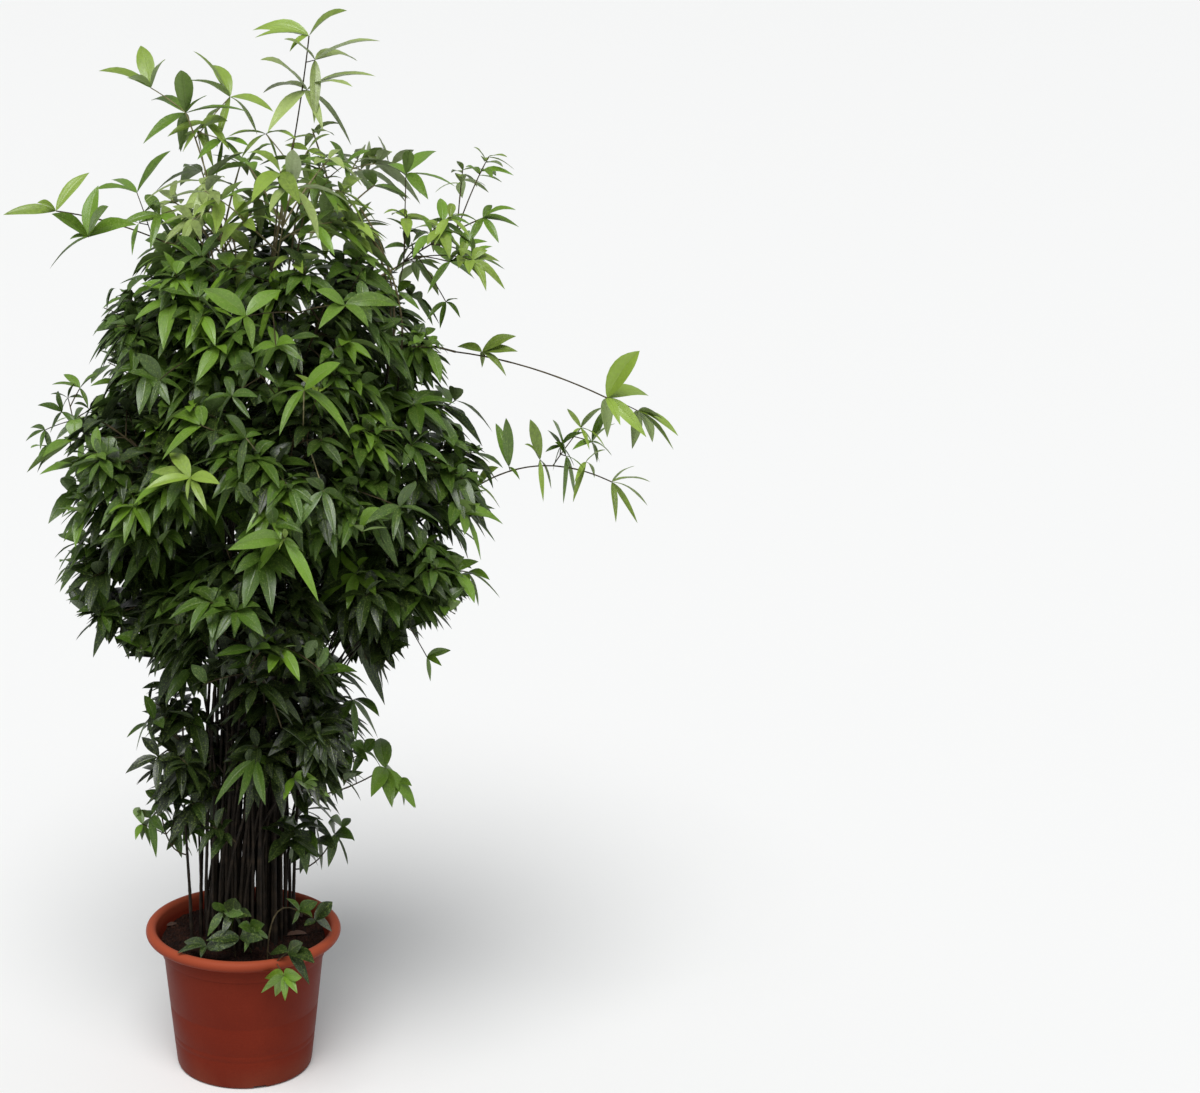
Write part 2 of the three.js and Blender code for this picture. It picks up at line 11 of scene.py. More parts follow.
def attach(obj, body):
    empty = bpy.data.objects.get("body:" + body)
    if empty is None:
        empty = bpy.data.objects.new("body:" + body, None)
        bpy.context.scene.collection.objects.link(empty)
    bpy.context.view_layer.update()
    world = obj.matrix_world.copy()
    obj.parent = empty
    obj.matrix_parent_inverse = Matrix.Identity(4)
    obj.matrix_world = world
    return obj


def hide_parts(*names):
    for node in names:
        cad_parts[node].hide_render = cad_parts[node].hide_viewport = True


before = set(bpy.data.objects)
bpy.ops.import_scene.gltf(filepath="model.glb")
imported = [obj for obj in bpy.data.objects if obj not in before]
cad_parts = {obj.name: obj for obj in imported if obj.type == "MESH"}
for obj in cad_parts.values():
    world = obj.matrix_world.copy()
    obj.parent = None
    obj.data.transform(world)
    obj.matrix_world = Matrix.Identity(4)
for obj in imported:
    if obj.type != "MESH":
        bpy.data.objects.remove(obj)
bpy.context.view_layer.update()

# The studio
# A plain pale floor that runs out to the horizon, an even pale sky, a wide soft sun from above and in
# front, and a camera as high as the plant is tall, which looks down at it a little.
image_width = 1200
image_height = 1093
centre_pixel = Vector((340.0, image_height / 2))
focal_pixels = 2247.0
sensor = 36.0
camera_place = Vector((0.1716, -3.707, 1.890))
camera_tilt = math.radians(14.2)
floor_reach = 400.0
floor_drop = 0.0005
floor_colour = (0.88, 0.88, 0.87, 1.0)
sky_colour = (0.95, 0.97, 1.0, 1.0)
sun_direction = Vector((0.10, 0.60, -1.0))
sun_width = math.radians(38)
sun_strength = 2.75
sky_strength = 0.36


def put_mesh(name, data, *materials):
    """Links a finished mesh, which holds its place in its vertices, with its materials."""
    piece = bpy.data.objects.new(name, data)
    bpy.context.scene.collection.objects.link(piece)
    for material in materials:
        data.materials.append(material)
    return piece


def seen_at(pixel, depth):
    """The place at a depth (its Y) that the camera sees at a pixel."""
    slope = camera_tilt + math.atan((pixel[1] - centre_pixel.y) / focal_pixels)
    ahead = depth - camera_place.y
    drop = ahead * math.tan(slope)
    distance = ahead * math.cos(camera_tilt) + drop * math.sin(camera_tilt)
    x = camera_place.x + (pixel[0] - centre_pixel.x) * distance / focal_pixels
    return Vector((x, depth, camera_place.z - drop))


lens = bpy.data.cameras.new("camera")
lens.sensor_width = sensor
lens.lens = focal_pixels / image_width * sensor
lens.shift_x = (image_width / 2 - centre_pixel.x) / image_width
viewer = bpy.data.objects.new("camera", lens)
viewer.location = camera_place
viewer.rotation_euler = (math.pi / 2 - camera_tilt, 0, 0)
bpy.context.scene.collection.objects.link(viewer)
bpy.context.scene.camera = viewer

floor_data = bpy.data.meshes.new("floor")
floor_signs = ((-1, -1), (1, -1), (1, 1), (-1, 1))
floor_corners = [(x * floor_reach, y * floor_reach, -floor_drop) for x, y in floor_signs]
floor_data.from_pydata(floor_corners, [], [(0, 1, 2, 3)])
pale_floor = bpy.data.materials.new("pale_floor")
pale_floor.use_nodes = True
floor_shader = pale_floor.node_tree.nodes["Principled BSDF"]
floor_shader.inputs["Base Color"].default_value = floor_colour
floor_shader.inputs["Roughness"].default_value = 0.9
put_mesh("floor", floor_data, pale_floor)

world = bpy.data.worlds.new("studio")
world.use_nodes = True
sky = world.node_tree.nodes["Background"]
sky.inputs["Color"].default_value = sky_colour
sky.inputs["Strength"].default_value = sky_strength
bpy.context.scene.world = world
bpy.context.scene.view_settings.view_transform = "Standard"

sun = bpy.data.lights.new("sun", "SUN")
sun.energy = sun_strength
sun.angle = sun_width
sun_lamp = bpy.data.objects.new("sun", sun)
sun_lamp.rotation_euler = sun_direction.to_track_quat("-Z", "Y").to_euler()
bpy.context.scene.collection.objects.link(sun_lamp)

# The pot
# A nursery container, injection moulded in one piece of terracotta-coloured plastic: a tapering body
# with faint moulded rings, a collar, a rolled rim to lift it by, and drain notches in its base edge.
pot_height = 0.262
rim_radius = 0.173
roll_radius = 0.0095
roll_drop = 3
roll_degrees = range(-120, 190, 15)
base_radius = 0.121
base_edge = 0.006
base_flat = 0.6
neck_radius = 0.142
neck_height = 0.212
collar_step = 0.004
collar_draft = 0.002
pot_wall = 0.0035
pot_floor = 0.007
notch_count = 4
notch_turn = 15
notch_width = 0.023
notch_depth = 0.014
notch_height = 0.0055
ring_heights = (0.052, 0.064, 0.118)
ring_depth = 0.0006
ring_half = 0.003
ring_flat = 0.001
step_round = 0.001
floor_round = 0.004
pot_turns = 176
pot_crease = math.radians(32)
# How far down from the top the rim's rubbed wear and painted highlight reach
rubbed_highlight_depth = 0.02
dusty_height = 0.045


def colour(red, green, blue):
    """A plain colour from the everyday 0 to 255 scale, as the light values that a shader takes."""
    shares = (value / 255 for value in (red, green, blue))
    return (*(s / 12.92 if s <= 0.04045 else ((s + 0.055) / 1.055) ** 2.4 for s in shares), 1.0)


def body_radius(height):
    """The outside radius of the pot's body under its collar."""
    return base_radius + (neck_radius - base_radius) * height / neck_height


def inside_radius(height):
    """The radius of the pot's straight inside, from its floor to the top of its collar and beyond."""
    low = body_radius(pot_floor) - pot_wall
    top = pot_height - roll_drop * roll_radius - pot_wall
    share = (height - pot_floor) / (top - pot_floor)
    return low + (neck_radius + collar_step - pot_wall - low) * share


def turned_mesh(name, profile, turns):
    """A closed round mesh from a profile of (radius, height) that starts and ends on the axis."""
    shape = bmesh.new()
    rings = []
    for radius, height in profile:
        if radius == 0:
            rings.append([shape.verts.new((0, 0, height))])
            continue
        angles = (2 * math.pi * i / turns for i in range(turns))
        rings.append([shape.verts.new((radius * math.cos(a), radius * math.sin(a), height)) for a in angles])
    for lower, upper in zip(rings, rings[1:]):
        for i in range(turns):
            j = (i + 1) % turns
            if len(lower) == 1:
                shape.faces.new((lower[0], upper[j], upper[i]))
            elif len(upper) == 1:
                shape.faces.new((lower[i], lower[j], upper[0]))
            else:
                shape.faces.new((lower[i], lower[j], upper[j], upper[i]))
    bmesh.ops.recalc_face_normals(shape, faces=shape.faces)
    data = bpy.data.meshes.new(name)
    shape.to_mesh(data)
    shape.free()
    return data


def pot_profile():
    """From the middle of the underside up the outside, over the rim and down inside to the floor."""
    points = [(0, 0), (base_radius * base_flat, 0), (base_radius - base_edge, 0)]
    for degrees in (30, 60, 90):
        turn = math.radians(degrees)
        points.append((base_radius - base_edge * (1 - math.sin(turn)), base_edge * (1 - math.cos(turn))))
    for height in ring_heights:
        for offset, share in ((-ring_half, 0), (-ring_flat, 1), (ring_flat, 1), (ring_half, 0)):
            place = height + offset
            points.append((body_radius(place) - share * ring_depth, place))
    collar = neck_radius + collar_step
    collar_top = pot_height - roll_drop * roll_radius
    points += [(neck_radius, neck_height), (collar - step_round, neck_height + 1.2 * step_round)]
    points += [(collar, neck_height + collar_step), (collar + collar_draft, collar_top)]
    for degrees in roll_degrees:
        turn = math.radians(degrees)
        radius = rim_radius + roll_radius * (math.cos(turn) - 1)
        points.append((radius, pot_height + roll_radius * (math.sin(turn) - 1)))
    for height in (collar_top - pot_wall, pot_floor + floor_round):
        points.append((inside_radius(height), height))
    points += [(inside_radius(pot_floor) - floor_round, pot_floor), (0, pot_floor)]
    return points


def cut_notches(data):
    """Cuts the drain notches into the base edge with small blocks."""
    cutters = bmesh.new()
    for i in range(notch_count):
        made = bmesh.ops.create_cube(cutters, size=1)["verts"]
        turn = math.radians(notch_turn + 360 * i / notch_count)
        for vertex in made:
            x = base_radius + vertex.co.x * 2 * notch_depth
            y = vertex.co.y * notch_width
            z = vertex.co.z * 2 * notch_height
            vertex.co = (x * math.cos(turn) - y * math.sin(turn), x * math.sin(turn) + y * math.cos(turn), z)
    block = put_mesh("notch_cutters", bpy.data.meshes.new("notch_cutters"))
    cutters.to_mesh(block.data)
    cutters.free()
    body = put_mesh("pot_uncut", data)
    cut = body.modifiers.new("notches", "BOOLEAN")
    cut.object = block
    cut.operation = "DIFFERENCE"
    cut.solver = "EXACT"
    whole = bpy.data.meshes.new_from_object(body.evaluated_get(bpy.context.evaluated_depsgraph_get()))
    for spare in (body, block):
        bpy.data.objects.remove(spare)
    return whole


def new_group(name, inputs, outputs):
    """An empty shader node group with named inputs and outputs."""
    group = bpy.data.node_groups.new(name, "ShaderNodeTree")
    for label, value in inputs.items():
        kind = "NodeSocketVector" if value is None else "NodeSocketFloat"
        socket = group.interface.new_socket(label, in_out="INPUT", socket_type=kind)
        if value is not None:
            socket.default_value = value
    for label in outputs:
        group.interface.new_socket(label, in_out="OUTPUT", socket_type="NodeSocketFloat")
    return group, group.nodes.new("NodeGroupInput"), group.nodes.new("NodeGroupOutput")


# Mottle is the uneven look that plastic, soil, bark and leaves all have: broad blotches and a fine grain
mottle, taken, given = new_group(
    "mottle", {"Vector": None, "Blotch Scale": 8.0, "Grain Scale": 300.0}, ("Blotch", "Grain")
)
for label, size, detail in (("Blotch", "Blotch Scale", 4.0), ("Grain", "Grain Scale", 2.0)):
    field = mottle.nodes.new("ShaderNodeTexNoise")
    field.inputs["Detail"].default_value = detail
    mottle.links.new(taken.outputs["Vector"], field.inputs["Vector"])
    mottle.links.new(taken.outputs[size], field.inputs["Scale"])
    spread = mottle.nodes.new("ShaderNodeMapRange")
    spread.inputs["From Min"].default_value = 0.32
    spread.inputs["From Max"].default_value = 0.68
    mottle.links.new(field.outputs["Fac"], spread.inputs["Value"])
    mottle.links.new(spread.outputs["Result"], given.inputs[label])


class Finish:
    """A material under construction, with short ways to add and join its nodes."""

    def __init__(self, name, roughness, specular=0.5):
        self.material = bpy.data.materials.new(name)
        self.material.use_nodes = True
        self.nodes = self.material.node_tree.nodes
        self.shader = self.nodes["Principled BSDF"]
        self.shader.inputs["Roughness"].default_value = roughness
        self.shader.inputs["Specular IOR Level"].default_value = specular

    def join(self, source, target):
        self.material.node_tree.links.new(source, target)

    def node(self, kind, **settings):
        made = self.nodes.new(kind)
        for key, value in settings.items():
            setattr(made, key, value)
        return made

    def object_place(self):
        return self.node("ShaderNodeTexCoord").outputs["Object"]

    def mottled(self, place, blotch_scale, grain_scale):
        made = self.node("ShaderNodeGroup", node_tree=mottle)
        self.join(place, made.inputs["Vector"])
        made.inputs["Blotch Scale"].default_value = blotch_scale
        made.inputs["Grain Scale"].default_value = grain_scale
        return made

    def blend(self, share, first, second, strength=1.0):
        """A colour part way from first to second, by share times strength."""
        made = self.node("ShaderNodeMix", data_type="RGBA")
        weight = self.scaled(share, strength) if strength != 1 else share
        self.join(weight, made.inputs["Factor"])
        for value, socket in ((first, made.inputs[6]), (second, made.inputs[7])):
            if isinstance(value, tuple):
                socket.default_value = value
            else:
                self.join(value, socket)
        return made.outputs[2]

    def reckon(self, kind, first, second):
        made = self.node("ShaderNodeMath", operation=kind)
        for value, socket in ((first, made.inputs[0]), (second, made.inputs[1])):
            if isinstance(value, (int, float)):
                socket.default_value = value
            else:
                self.join(value, socket)
        return made.outputs[0]

    def scaled(self, value, factor):
        return self.reckon("MULTIPLY", value, factor)

    def ranged(self, value, low, high, start, end):
        made = self.node("ShaderNodeMapRange")
        self.join(value, made.inputs["Value"])
        for label, number in zip(("From Min", "From Max", "To Min", "To Max"), (low, high, start, end)):
            made.inputs[label].default_value = number
        return made.outputs["Result"]

    def relief(self, height, distance, strength=1.0):
        made = self.node("ShaderNodeBump")
        made.inputs["Distance"].default_value = distance
        made.inputs["Strength"].default_value = strength
        self.join(height, made.inputs["Height"])
        self.join(made.outputs["Normal"], self.shader.inputs["Normal"])


def pot_plastic():
    """Satin terracotta-coloured plastic, a little dusty low down, and paler on the rim, partly as rubbed wear
    and partly as a painted highlight.
    """
    finish = Finish("terracotta_plastic", 0.45, 0.05)
    place = finish.object_place()
    uneven = finish.mottled(place, 9.0, 420.0)
    height = finish.node("ShaderNodeSeparateXYZ")
    finish.join(place, height.inputs["Vector"])
    tone = finish.blend(uneven.outputs["Blotch"], colour(106, 35, 21), colour(115, 41, 25))
    tone = finish.blend(uneven.outputs["Grain"], tone, colour(92, 31, 20), 0.35)
    # The rim is painted paler towards its top: partly rubbed wear, partly a painted highlight in place of its
    # gloss
    rubbed_highlight = finish.ranged(height.outputs["Z"], pot_height - rubbed_highlight_depth, pot_height, 0.0, 0.75)
    tone = finish.blend(rubbed_highlight, tone, colour(176, 86, 58))
    low = finish.ranged(height.outputs["Z"], 0.0, dusty_height, 0.3, 0.0)
    dusty = finish.reckon("MULTIPLY", low, uneven.outputs["Blotch"])
    tone = finish.blend(dusty, tone, colour(134, 88, 66))
    finish.join(tone, finish.shader.inputs["Base Color"])
    finish.join(finish.ranged(uneven.outputs["Blotch"], 0, 1, 0.38, 0.52), finish.shader.inputs["Roughness"])
    finish.relief(uneven.outputs["Grain"], 0.00015, 0.5)
    return finish.material


pot_mesh = cut_notches(turned_mesh("pot_body", pot_profile(), pot_turns))
pot_mesh.shade_smooth()
pot_mesh.set_sharp_from_angle(angle=pot_crease)
pot_piece = put_mesh("moulded_pot", pot_mesh, pot_plastic())
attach(pot_piece, "root")
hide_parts("pot")

# The soil
# Dark potting soil that fills the pot to a finger's width under its rim. Its top is uneven and
# crumbly, loosely heaped and never raked smooth.
soil_top = 0.238
soil_gap = 0.0005
soil_edge = 0.014
soil_press = 0.001
ball_round = 0.005
soil_relief = 0.0045
hump_scale = 14
hump_share = 0.7
lump_scale = 60
lump_share = 0.4
wall_dip = 0.006
wall_dip_from = 0.8
soil_turns = 120
soil_rings = 26
crumb_seed = 11
crumb_lowest = soil_top - 0.02
crumb_steepest = 0.3
crumb_shape = (1.0, 0.8, 0.6)
crumb_turn = 6.28
crumb_rough = 0.004
crumb_rough_scale = 260.0


def soil_height(x, y):
    """How high the soil lies: broad humps and small lumps, a little lower at the wall of the pot."""
    broad = noise.noise(Vector((x * hump_scale, y * hump_scale, 3.1)))
    small = noise.noise(Vector((x * lump_scale, y * lump_scale, 7.7)))
    edge = max(0.0, math.hypot(x, y) / neck_radius - wall_dip_from)
    return soil_top + soil_relief * (hump_share * broad + lump_share * small) - wall_dip * edge


def soil_mesh():
    """The root ball's top and sides, closed underneath."""
    wall = inside_radius(soil_top) + soil_press
    profile = [(0, soil_top)]
    profile += [(wall * ring / soil_rings, soil_top) for ring in range(1, soil_rings + 1)]
    bottom = pot_floor + soil_gap
    profile += [(inside_radius(soil_top - soil_edge) - soil_gap, soil_top - soil_edge)]
    profile += [(inside_radius(bottom) - ball_round, bottom), (0, bottom)]
    data = turned_mesh("soil_body", profile, soil_turns)
    for vertex in data.vertices:
        x, y, z = vertex.co
        if z == np.float32(soil_top):
            vertex.co.z = soil_height(x, y)
    return data


def soil_finish(name, dark, pale):
    """Moist peaty soil: near black in its hollows and brown on its crumbs."""
    finish = Finish(name, 0.95, 0.15)
    uneven = finish.mottled(finish.object_place(), 38.0, 520.0)
    tone = finish.blend(uneven.outputs["Blotch"], dark, pale)
    tone = finish.blend(uneven.outputs["Grain"], tone, colour(20, 11, 8), 0.5)
    finish.join(tone, finish.shader.inputs["Base Color"])
    finish.relief(uneven.outputs["Grain"], 0.0012)
    return finish.material


def new_tree(name, kinds, **inputs):
    """A geometry tree with its nodes by name, and named inputs between its geometry in and out."""
    tree = bpy.data.node_groups.new(name, "GeometryNodeTree")
    tree.interface.new_socket("Geometry", in_out="INPUT", socket_type="NodeSocketGeometry")
    for label, kind in inputs.items():
        tree.interface.new_socket(label.replace("_", " "), in_out="INPUT", socket_type="NodeSocket" + kind)
    tree.interface.new_socket("Geometry", in_out="OUTPUT", socket_type="NodeSocketGeometry")
    nodes = {label: tree.nodes.new(kind) for label, kind in kinds.items()}
    return tree, nodes


def join_nodes(tree, nodes, links):
    """Joins the nodes of a tree; each link names a node and its output, then a node and its input."""
    for source, output, target, socket in links:
        tree.links.new(nodes[source].outputs[output], nodes[target].inputs[socket])


def set_inputs(nodes, values):
    """Sets plain inputs of a tree's nodes; each entry names a node and its input, then the value."""
    for label, socket, value in values:
        nodes[label].inputs[socket].default_value = value


def crumb_tree():
    """Scatters crumbs over a surface: each one a small lump, turned and sized at random."""
    tree, nodes = new_tree(
        "crumb_scatter",
        {
            "in": "NodeGroupInput",
            "scatter": "GeometryNodeDistributePointsOnFaces",
            "lump": "GeometryNodeMeshIcoSphere",
            "copies": "GeometryNodeInstanceOnPoints",
            "turn": "FunctionNodeRandomValue",
            "size": "FunctionNodeRandomValue",
            "flat": "ShaderNodeVectorMath",
            "real": "GeometryNodeRealizeInstances",
            "rough": "GeometryNodeSetPosition",
            "jitter": "ShaderNodeTexNoise",
            "centre": "ShaderNodeVectorMath",
            "scale": "ShaderNodeVectorMath",
            "finish": "GeometryNodeSetMaterial",
            "out": "NodeGroupOutput",
        },
        Density="Float",
        Smallest="Float",
        Largest="Float",
        Material="Material",
    )
    nodes["turn"].data_type = "FLOAT_VECTOR"
    nodes["size"].data_type = "FLOAT"
    nodes["flat"].operation = "SCALE"
    nodes["centre"].operation = "SUBTRACT"
    nodes["scale"].operation = "SCALE"
    set_inputs(nodes, (
        ("lump", "Subdivisions", 2),
        ("lump", "Radius", 1.0),
        ("scatter", "Seed", crumb_seed),
        ("turn", "Max", (crumb_turn, crumb_turn, crumb_turn)),
        ("turn", "Seed", crumb_seed + 1),
        ("size", "Seed", crumb_seed + 2),
        ("flat", 0, crumb_shape),
        ("jitter", "Scale", crumb_rough_scale),
        ("centre", 1, (0.5, 0.5, 0.5)),
        ("scale", "Scale", crumb_rough),
    ))
    join_nodes(tree, nodes, (
        ("in", "Geometry", "scatter", "Mesh"),
        ("in", "Density", "scatter", "Density"),
        ("scatter", "Points", "copies", "Points"),
        ("lump", "Mesh", "copies", "Instance"),
        ("turn", "Value", "copies", "Rotation"),
        ("in", "Smallest", "size", 2),
        ("in", "Largest", "size", 3),
        ("size", 1, "flat", "Scale"),
        ("flat", "Vector", "copies", "Scale"),
        ("copies", "Instances", "real", "Geometry"),
        ("real", "Geometry", "rough", "Geometry"),
        ("jitter", "Color", "centre", 0),
        ("centre", "Vector", "scale", 0),
        ("scale", "Vector", "rough", "Offset"),
        ("rough", "Geometry", "finish", "Geometry"),
        ("in", "Material", "finish", "Material"),
        ("finish", "Geometry", "out", "Geometry"),
    ))
    return tree


def grown_mesh(name, data, tree, **values):
    """Runs a mesh through a geometry tree with named input values, and returns the plain result."""
    carrier = put_mesh(name + "_carrier", data)
    growth = carrier.modifiers.new("growth", "NODES")
    growth.node_group = tree
    sockets = {s.name: s.identifier for s in tree.interface.items_tree if s.in_out == "INPUT"}
    for label, value in values.items():
        growth[sockets[label.replace("_", " ")]] = value
    carrier.update_tag()
    ready = carrier.evaluated_get(bpy.context.evaluated_depsgraph_get())
    result = bpy.data.meshes.new_from_object(ready)
    carrier.modifiers.remove(growth)
    bpy.data.objects.remove(carrier)
    return result


soil_ground = soil_mesh()
soil_skin = soil_ground.copy()
trim = bmesh.new()
trim.from_mesh(soil_skin)
hidden = [f for f in trim.faces if f.calc_center_median().z < crumb_lowest or f.normal.z < crumb_steepest]
bmesh.ops.delete(trim, geom=hidden, context="FACES")
trim.to_mesh(soil_skin)
trim.free()
crumb_finish = soil_finish("soil_crumbs", colour(34, 19, 14), colour(66, 41, 31))
crumbs = grown_mesh(
    "crumbs", soil_skin, crumb_tree(), Density=34000.0, Smallest=0.0012, Largest=0.0042, Material=crumb_finish
)
soil_ground.shade_smooth()
ground_finish = soil_finish("soil_ground", colour(26, 15, 11), colour(46, 28, 22))
soil_piece = put_mesh("soil_ball", soil_ground, ground_finish)
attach(soil_piece, "root")
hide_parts("soil")
crumb_piece = put_mesh("soil_crumbs", crumbs)
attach(crumb_piece, "root")

# The plan of the crown
# The plant is one clump. Its canes stand close together in the soil and fan out, and each carries a
# mass of twigs that keeps to a ball of its own, cut off where it meets the next one's.
cane_tip = 0.0026
cane_upright = 0.5
cane_bend_rise = 0.22
cane_bend_spread = 0.34
golden_angle = math.pi * (3 - math.sqrt(5))
up = Vector((0, 0, 1))

# Each ring of masses from the pot up: how many, then its height, radius and reach, its first bearing,
# how far it stands to +X, how far its twigs point up, and how many main twigs a mass has.
rings = {
    "skirt": (3, 0.625, 0.122, 0.142, 67, 0.020, -0.4, 5),
    "belly": (5, 0.884, 0.209, 0.176, 50, 0.058, 0.0, 6),
    "breast": (5, 1.136, 0.222, 0.196, -7, 0.052, 0.0, 6),
    "shoulder": (4, 1.350, 0.168, 0.188, 24, 0.066, 0.75, 5),
    "crest": (3, 1.550, 0.107, 0.166, 160, 0.070, 1.2, 6),
}
ring_lift = 0.028
ring_lean = 0.85
stem_start = 0.6
stem_share = 0.85
twig_share = 0.53
twig_spread = 1.5
crest_canes = ("left_leader", "leader", "right_shoulder")
crest_leave = 1.400
space_beyond = 0.8
spray_bow = 0.10
solid_leaf = {"spray": 0.106, "sprig": 0.076}
seed_step = 17
twig_uneven = 0.1
stem_steps = 10
foot_depth = 0.0005
crown_bend = 0.5
side_bend = 0.4
bare_cane_tip = Vector((-0.098, -0.038, 0.500))
sucker_depth = 0.004

# The shoots that stand out one by one: the kind, where the shoot starts, and the ends of its stem and
# twigs, the stem's first
lone_shoots = {
    "leader": (
        "spray", (0.098, 0, 1.640),
        ((0.128, 0, 1.782), (0.131, -0.012, 1.752), (0.117, 0.010, 1.708)),
    ),
    "left_leader": (
        "spray", (-0.042, 0.010, 1.560),
        ((-0.076, -0.020, 1.672), (-0.012, 0.030, 1.696), (-0.130, 0.020, 1.706)),
    ),
    "far_left": (
        "spray", (-0.120, 0, 1.470),
        ((-0.328, -0.020, 1.520), (-0.240, -0.060, 1.482), (-0.163, 0.040, 1.548)),
    ),
    "right_shoulder": (
        "spray", (0.262, 0.005, 1.425),
        ((0.402, 0.030, 1.492), (0.286, 0, 1.574), (0.371, -0.040, 1.441), (0.337, 0.020, 1.390)),
    ),
    "side_upper": (
        "spray", (0.362, -0.034, 1.292),
        ((0.606, -0.090, 1.218), (0.410, -0.060, 1.296), (0.630, -0.066, 1.184)),
    ),
    "side_lower": (
        "spray", (0.392, 0.030, 1.042),
        ((0.600, 0.090, 1.128), (0.465, 0.050, 1.088), (0.520, 0.046, 1.066), (0.652, 0.090, 1.062)),
    ),
    "left_spray": (
        "sprig", (-0.205, -0.004, 1.130),
        ((-0.316, 0, 1.150), (-0.262, 0.020, 1.218), (-0.286, -0.024, 1.180)),
    ),
}

# Shoots off a cane's side at a height, and suckers out of the soil at a place with a share of bend
side_shoots = {
    "low_left": (
        "bare_left", 0.405,
        ((-0.166, -0.020, 0.468), (-0.144, 0.006, 0.480), (-0.120, 0.014, 0.430)),
    ),
    "low_right": ("side_lower", 0.500, ((0.250, 0, 0.562), (0.192, -0.020, 0.598), (0.285, 0.006, 0.530))),
    "pot_right": ("side_lower", 0.360, ((0.166, 0, 0.432), (0.108, -0.014, 0.438))),
}
suckers = {
    "pot_front": (
        (-0.010, -0.096), 0.8,
        ((-0.034, -0.112, 0.296), (-0.008, -0.090, 0.318), (0.022, -0.118, 0.292)),
    ),
    "pot_rim": (
        (0.046, -0.114), 1.3,
        ((0.078, -0.194, 0.240), (0.074, -0.146, 0.300), (0.104, -0.184, 0.272)),
    ),
}


def seeded_random(seed):
    """Repeatable numbers from 0 to 1, the same ones as the solids grew by."""
    state = [int(seed)]
    whole = 0xFFFFFFFF

    def draw():
        state[0] = (state[0] + 0x6D2B79F5) & whole
        mixed = state[0]
        mixed = ((mixed ^ (mixed >> 15)) * (mixed | 1)) & whole
        step = ((mixed ^ (mixed >> 7)) * (mixed | 61)) & whole
        mixed = ((mixed + step) & whole) ^ mixed
        return (mixed ^ (mixed >> 14)) / (whole + 1)

    return draw


def sideways(tangent, bearing, angle):
    """A direction at an angle from a limb's own, at a bearing about it."""
    helper = up if abs(tangent.z) < 0.9 else Vector((1, 0, 0))
    across = tangent.cross(helper).normalized()
    across.rotate(Quaternion(tangent, bearing))
    return across * math.sin(angle) + tangent * math.cos(angle)


def bent(start, corner, end, steps):
    """A limb's line: a curve from start to end that heads for corner first."""
    shares = (i / steps for i in range(steps + 1))
    return [start * (1 - s) ** 2 + corner * 2 * s * (1 - s) + end * s * s for s in shares]


class Mass:
    """One mass of twigs: its name and kind, how its stem starts, its twigs' ends and its space."""

    def __init__(self, name, kind, start, lead, bend, ends, centre, reach):
        self.name = name
        self.kind = kind
        self.start = start
        self.lead = lead
        self.bend = bend
        self.ends = ends
        self.centre = centre
        self.reach = reach

    def stem_to(self, end):
        """The stem's line to an end: it heads off by its lead and bends over by its share."""
        length = (end - self.start).length
        corner = self.start + self.lead * self.bend * length
        if self.kind == "spray":
            corner.z += spray_bow * length
        return bent(self.start, corner, end, stem_steps)

    def power(self, place):
        """How far inside the mass's ball a place lies: negative inside, less the deeper it is."""
        return (place - self.centre).length_squared - self.reach ** 2


def space_around(kind, ends):
    """A lone shoot's space: a ball about the ends of its stem and twigs, and their leaves."""
    centre = sum(ends, Vector()) / len(ends)
    spread = max((end - centre).length for end in ends)
    return centre, spread + space_beyond * solid_leaf[kind]


def ring_places(ring):
    """The masses of a ring: each one's name, middle, outward bearing, main twigs' ends and reach."""
    count, height, radius, reach, turn, shift, rise, twigs = rings[ring]
    for i in range(count):
        random = seeded_random(round(height * 1000) + seed_step * i)
        bearing = math.radians(turn + 360 * i / count)
        outward = Vector((math.cos(bearing), math.sin(bearing), 0))
        centre = outward * radius
        centre.x += shift
        centre.z = height + ring_lift * math.sin(golden_angle * i + height * 1000)
        facing = (outward + up * rise).normalized()
        ends = []
        for t in range(twigs):
            angle = math.acos(1 - twig_spread * (t + 0.5) / twigs)
            away = sideways(facing, t * golden_angle + i, angle)
            ends.append(centre + away * twig_share * reach * (1 + twig_uneven * (2 * random() - 1)))
        yield f"{ring}_{i + 1}", centre, outward, ends, reach


def cane_line(foot, tip, lead, steps=28):
    """A cane's line: up from the soil, then over towards its tip."""
    rise = tip.z - foot.z
    spread = math.hypot(tip.x - foot.x, tip.y - foot.y)
    first = foot + up * cane_upright * rise
    last = tip - lead * (cane_bend_rise * rise + cane_bend_spread * spread)
    line = []
    for i in range(steps + 1):
        s = i / steps
        low = foot * (1 - s) ** 3 + first * 3 * s * (1 - s) ** 2
        line.append(low + last * 3 * s * s * (1 - s) + tip * s ** 3)
    return line


def cane_foot(name):
    """Where a cane's solid stands on the soil."""
    points = [vertex.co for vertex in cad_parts[name].data.vertices]
    lowest = min(p.z for p in points)
    ring = {tuple(round(c, 6) for c in p) for p in points if p.z < lowest + foot_depth}
    return sum((Vector(p) for p in ring), Vector()) / len(ring)


def side_start(cane, height, end):
    """Where a shoot leaves a cane's side, and its first direction."""
    line = cane_lines[cane]
    above = next(i for i, p in enumerate(line) if p.z > height)
    along = (line[above] - line[above - 1]).normalized()
    share = (height - line[above - 1].z) / (line[above].z - line[above - 1].z)
    place = line[above - 1].lerp(line[above], share)
    lead = end - place
    lead = (lead - along * lead.dot(along)).normalized()
    return place + lead * cane_tip / 2, lead


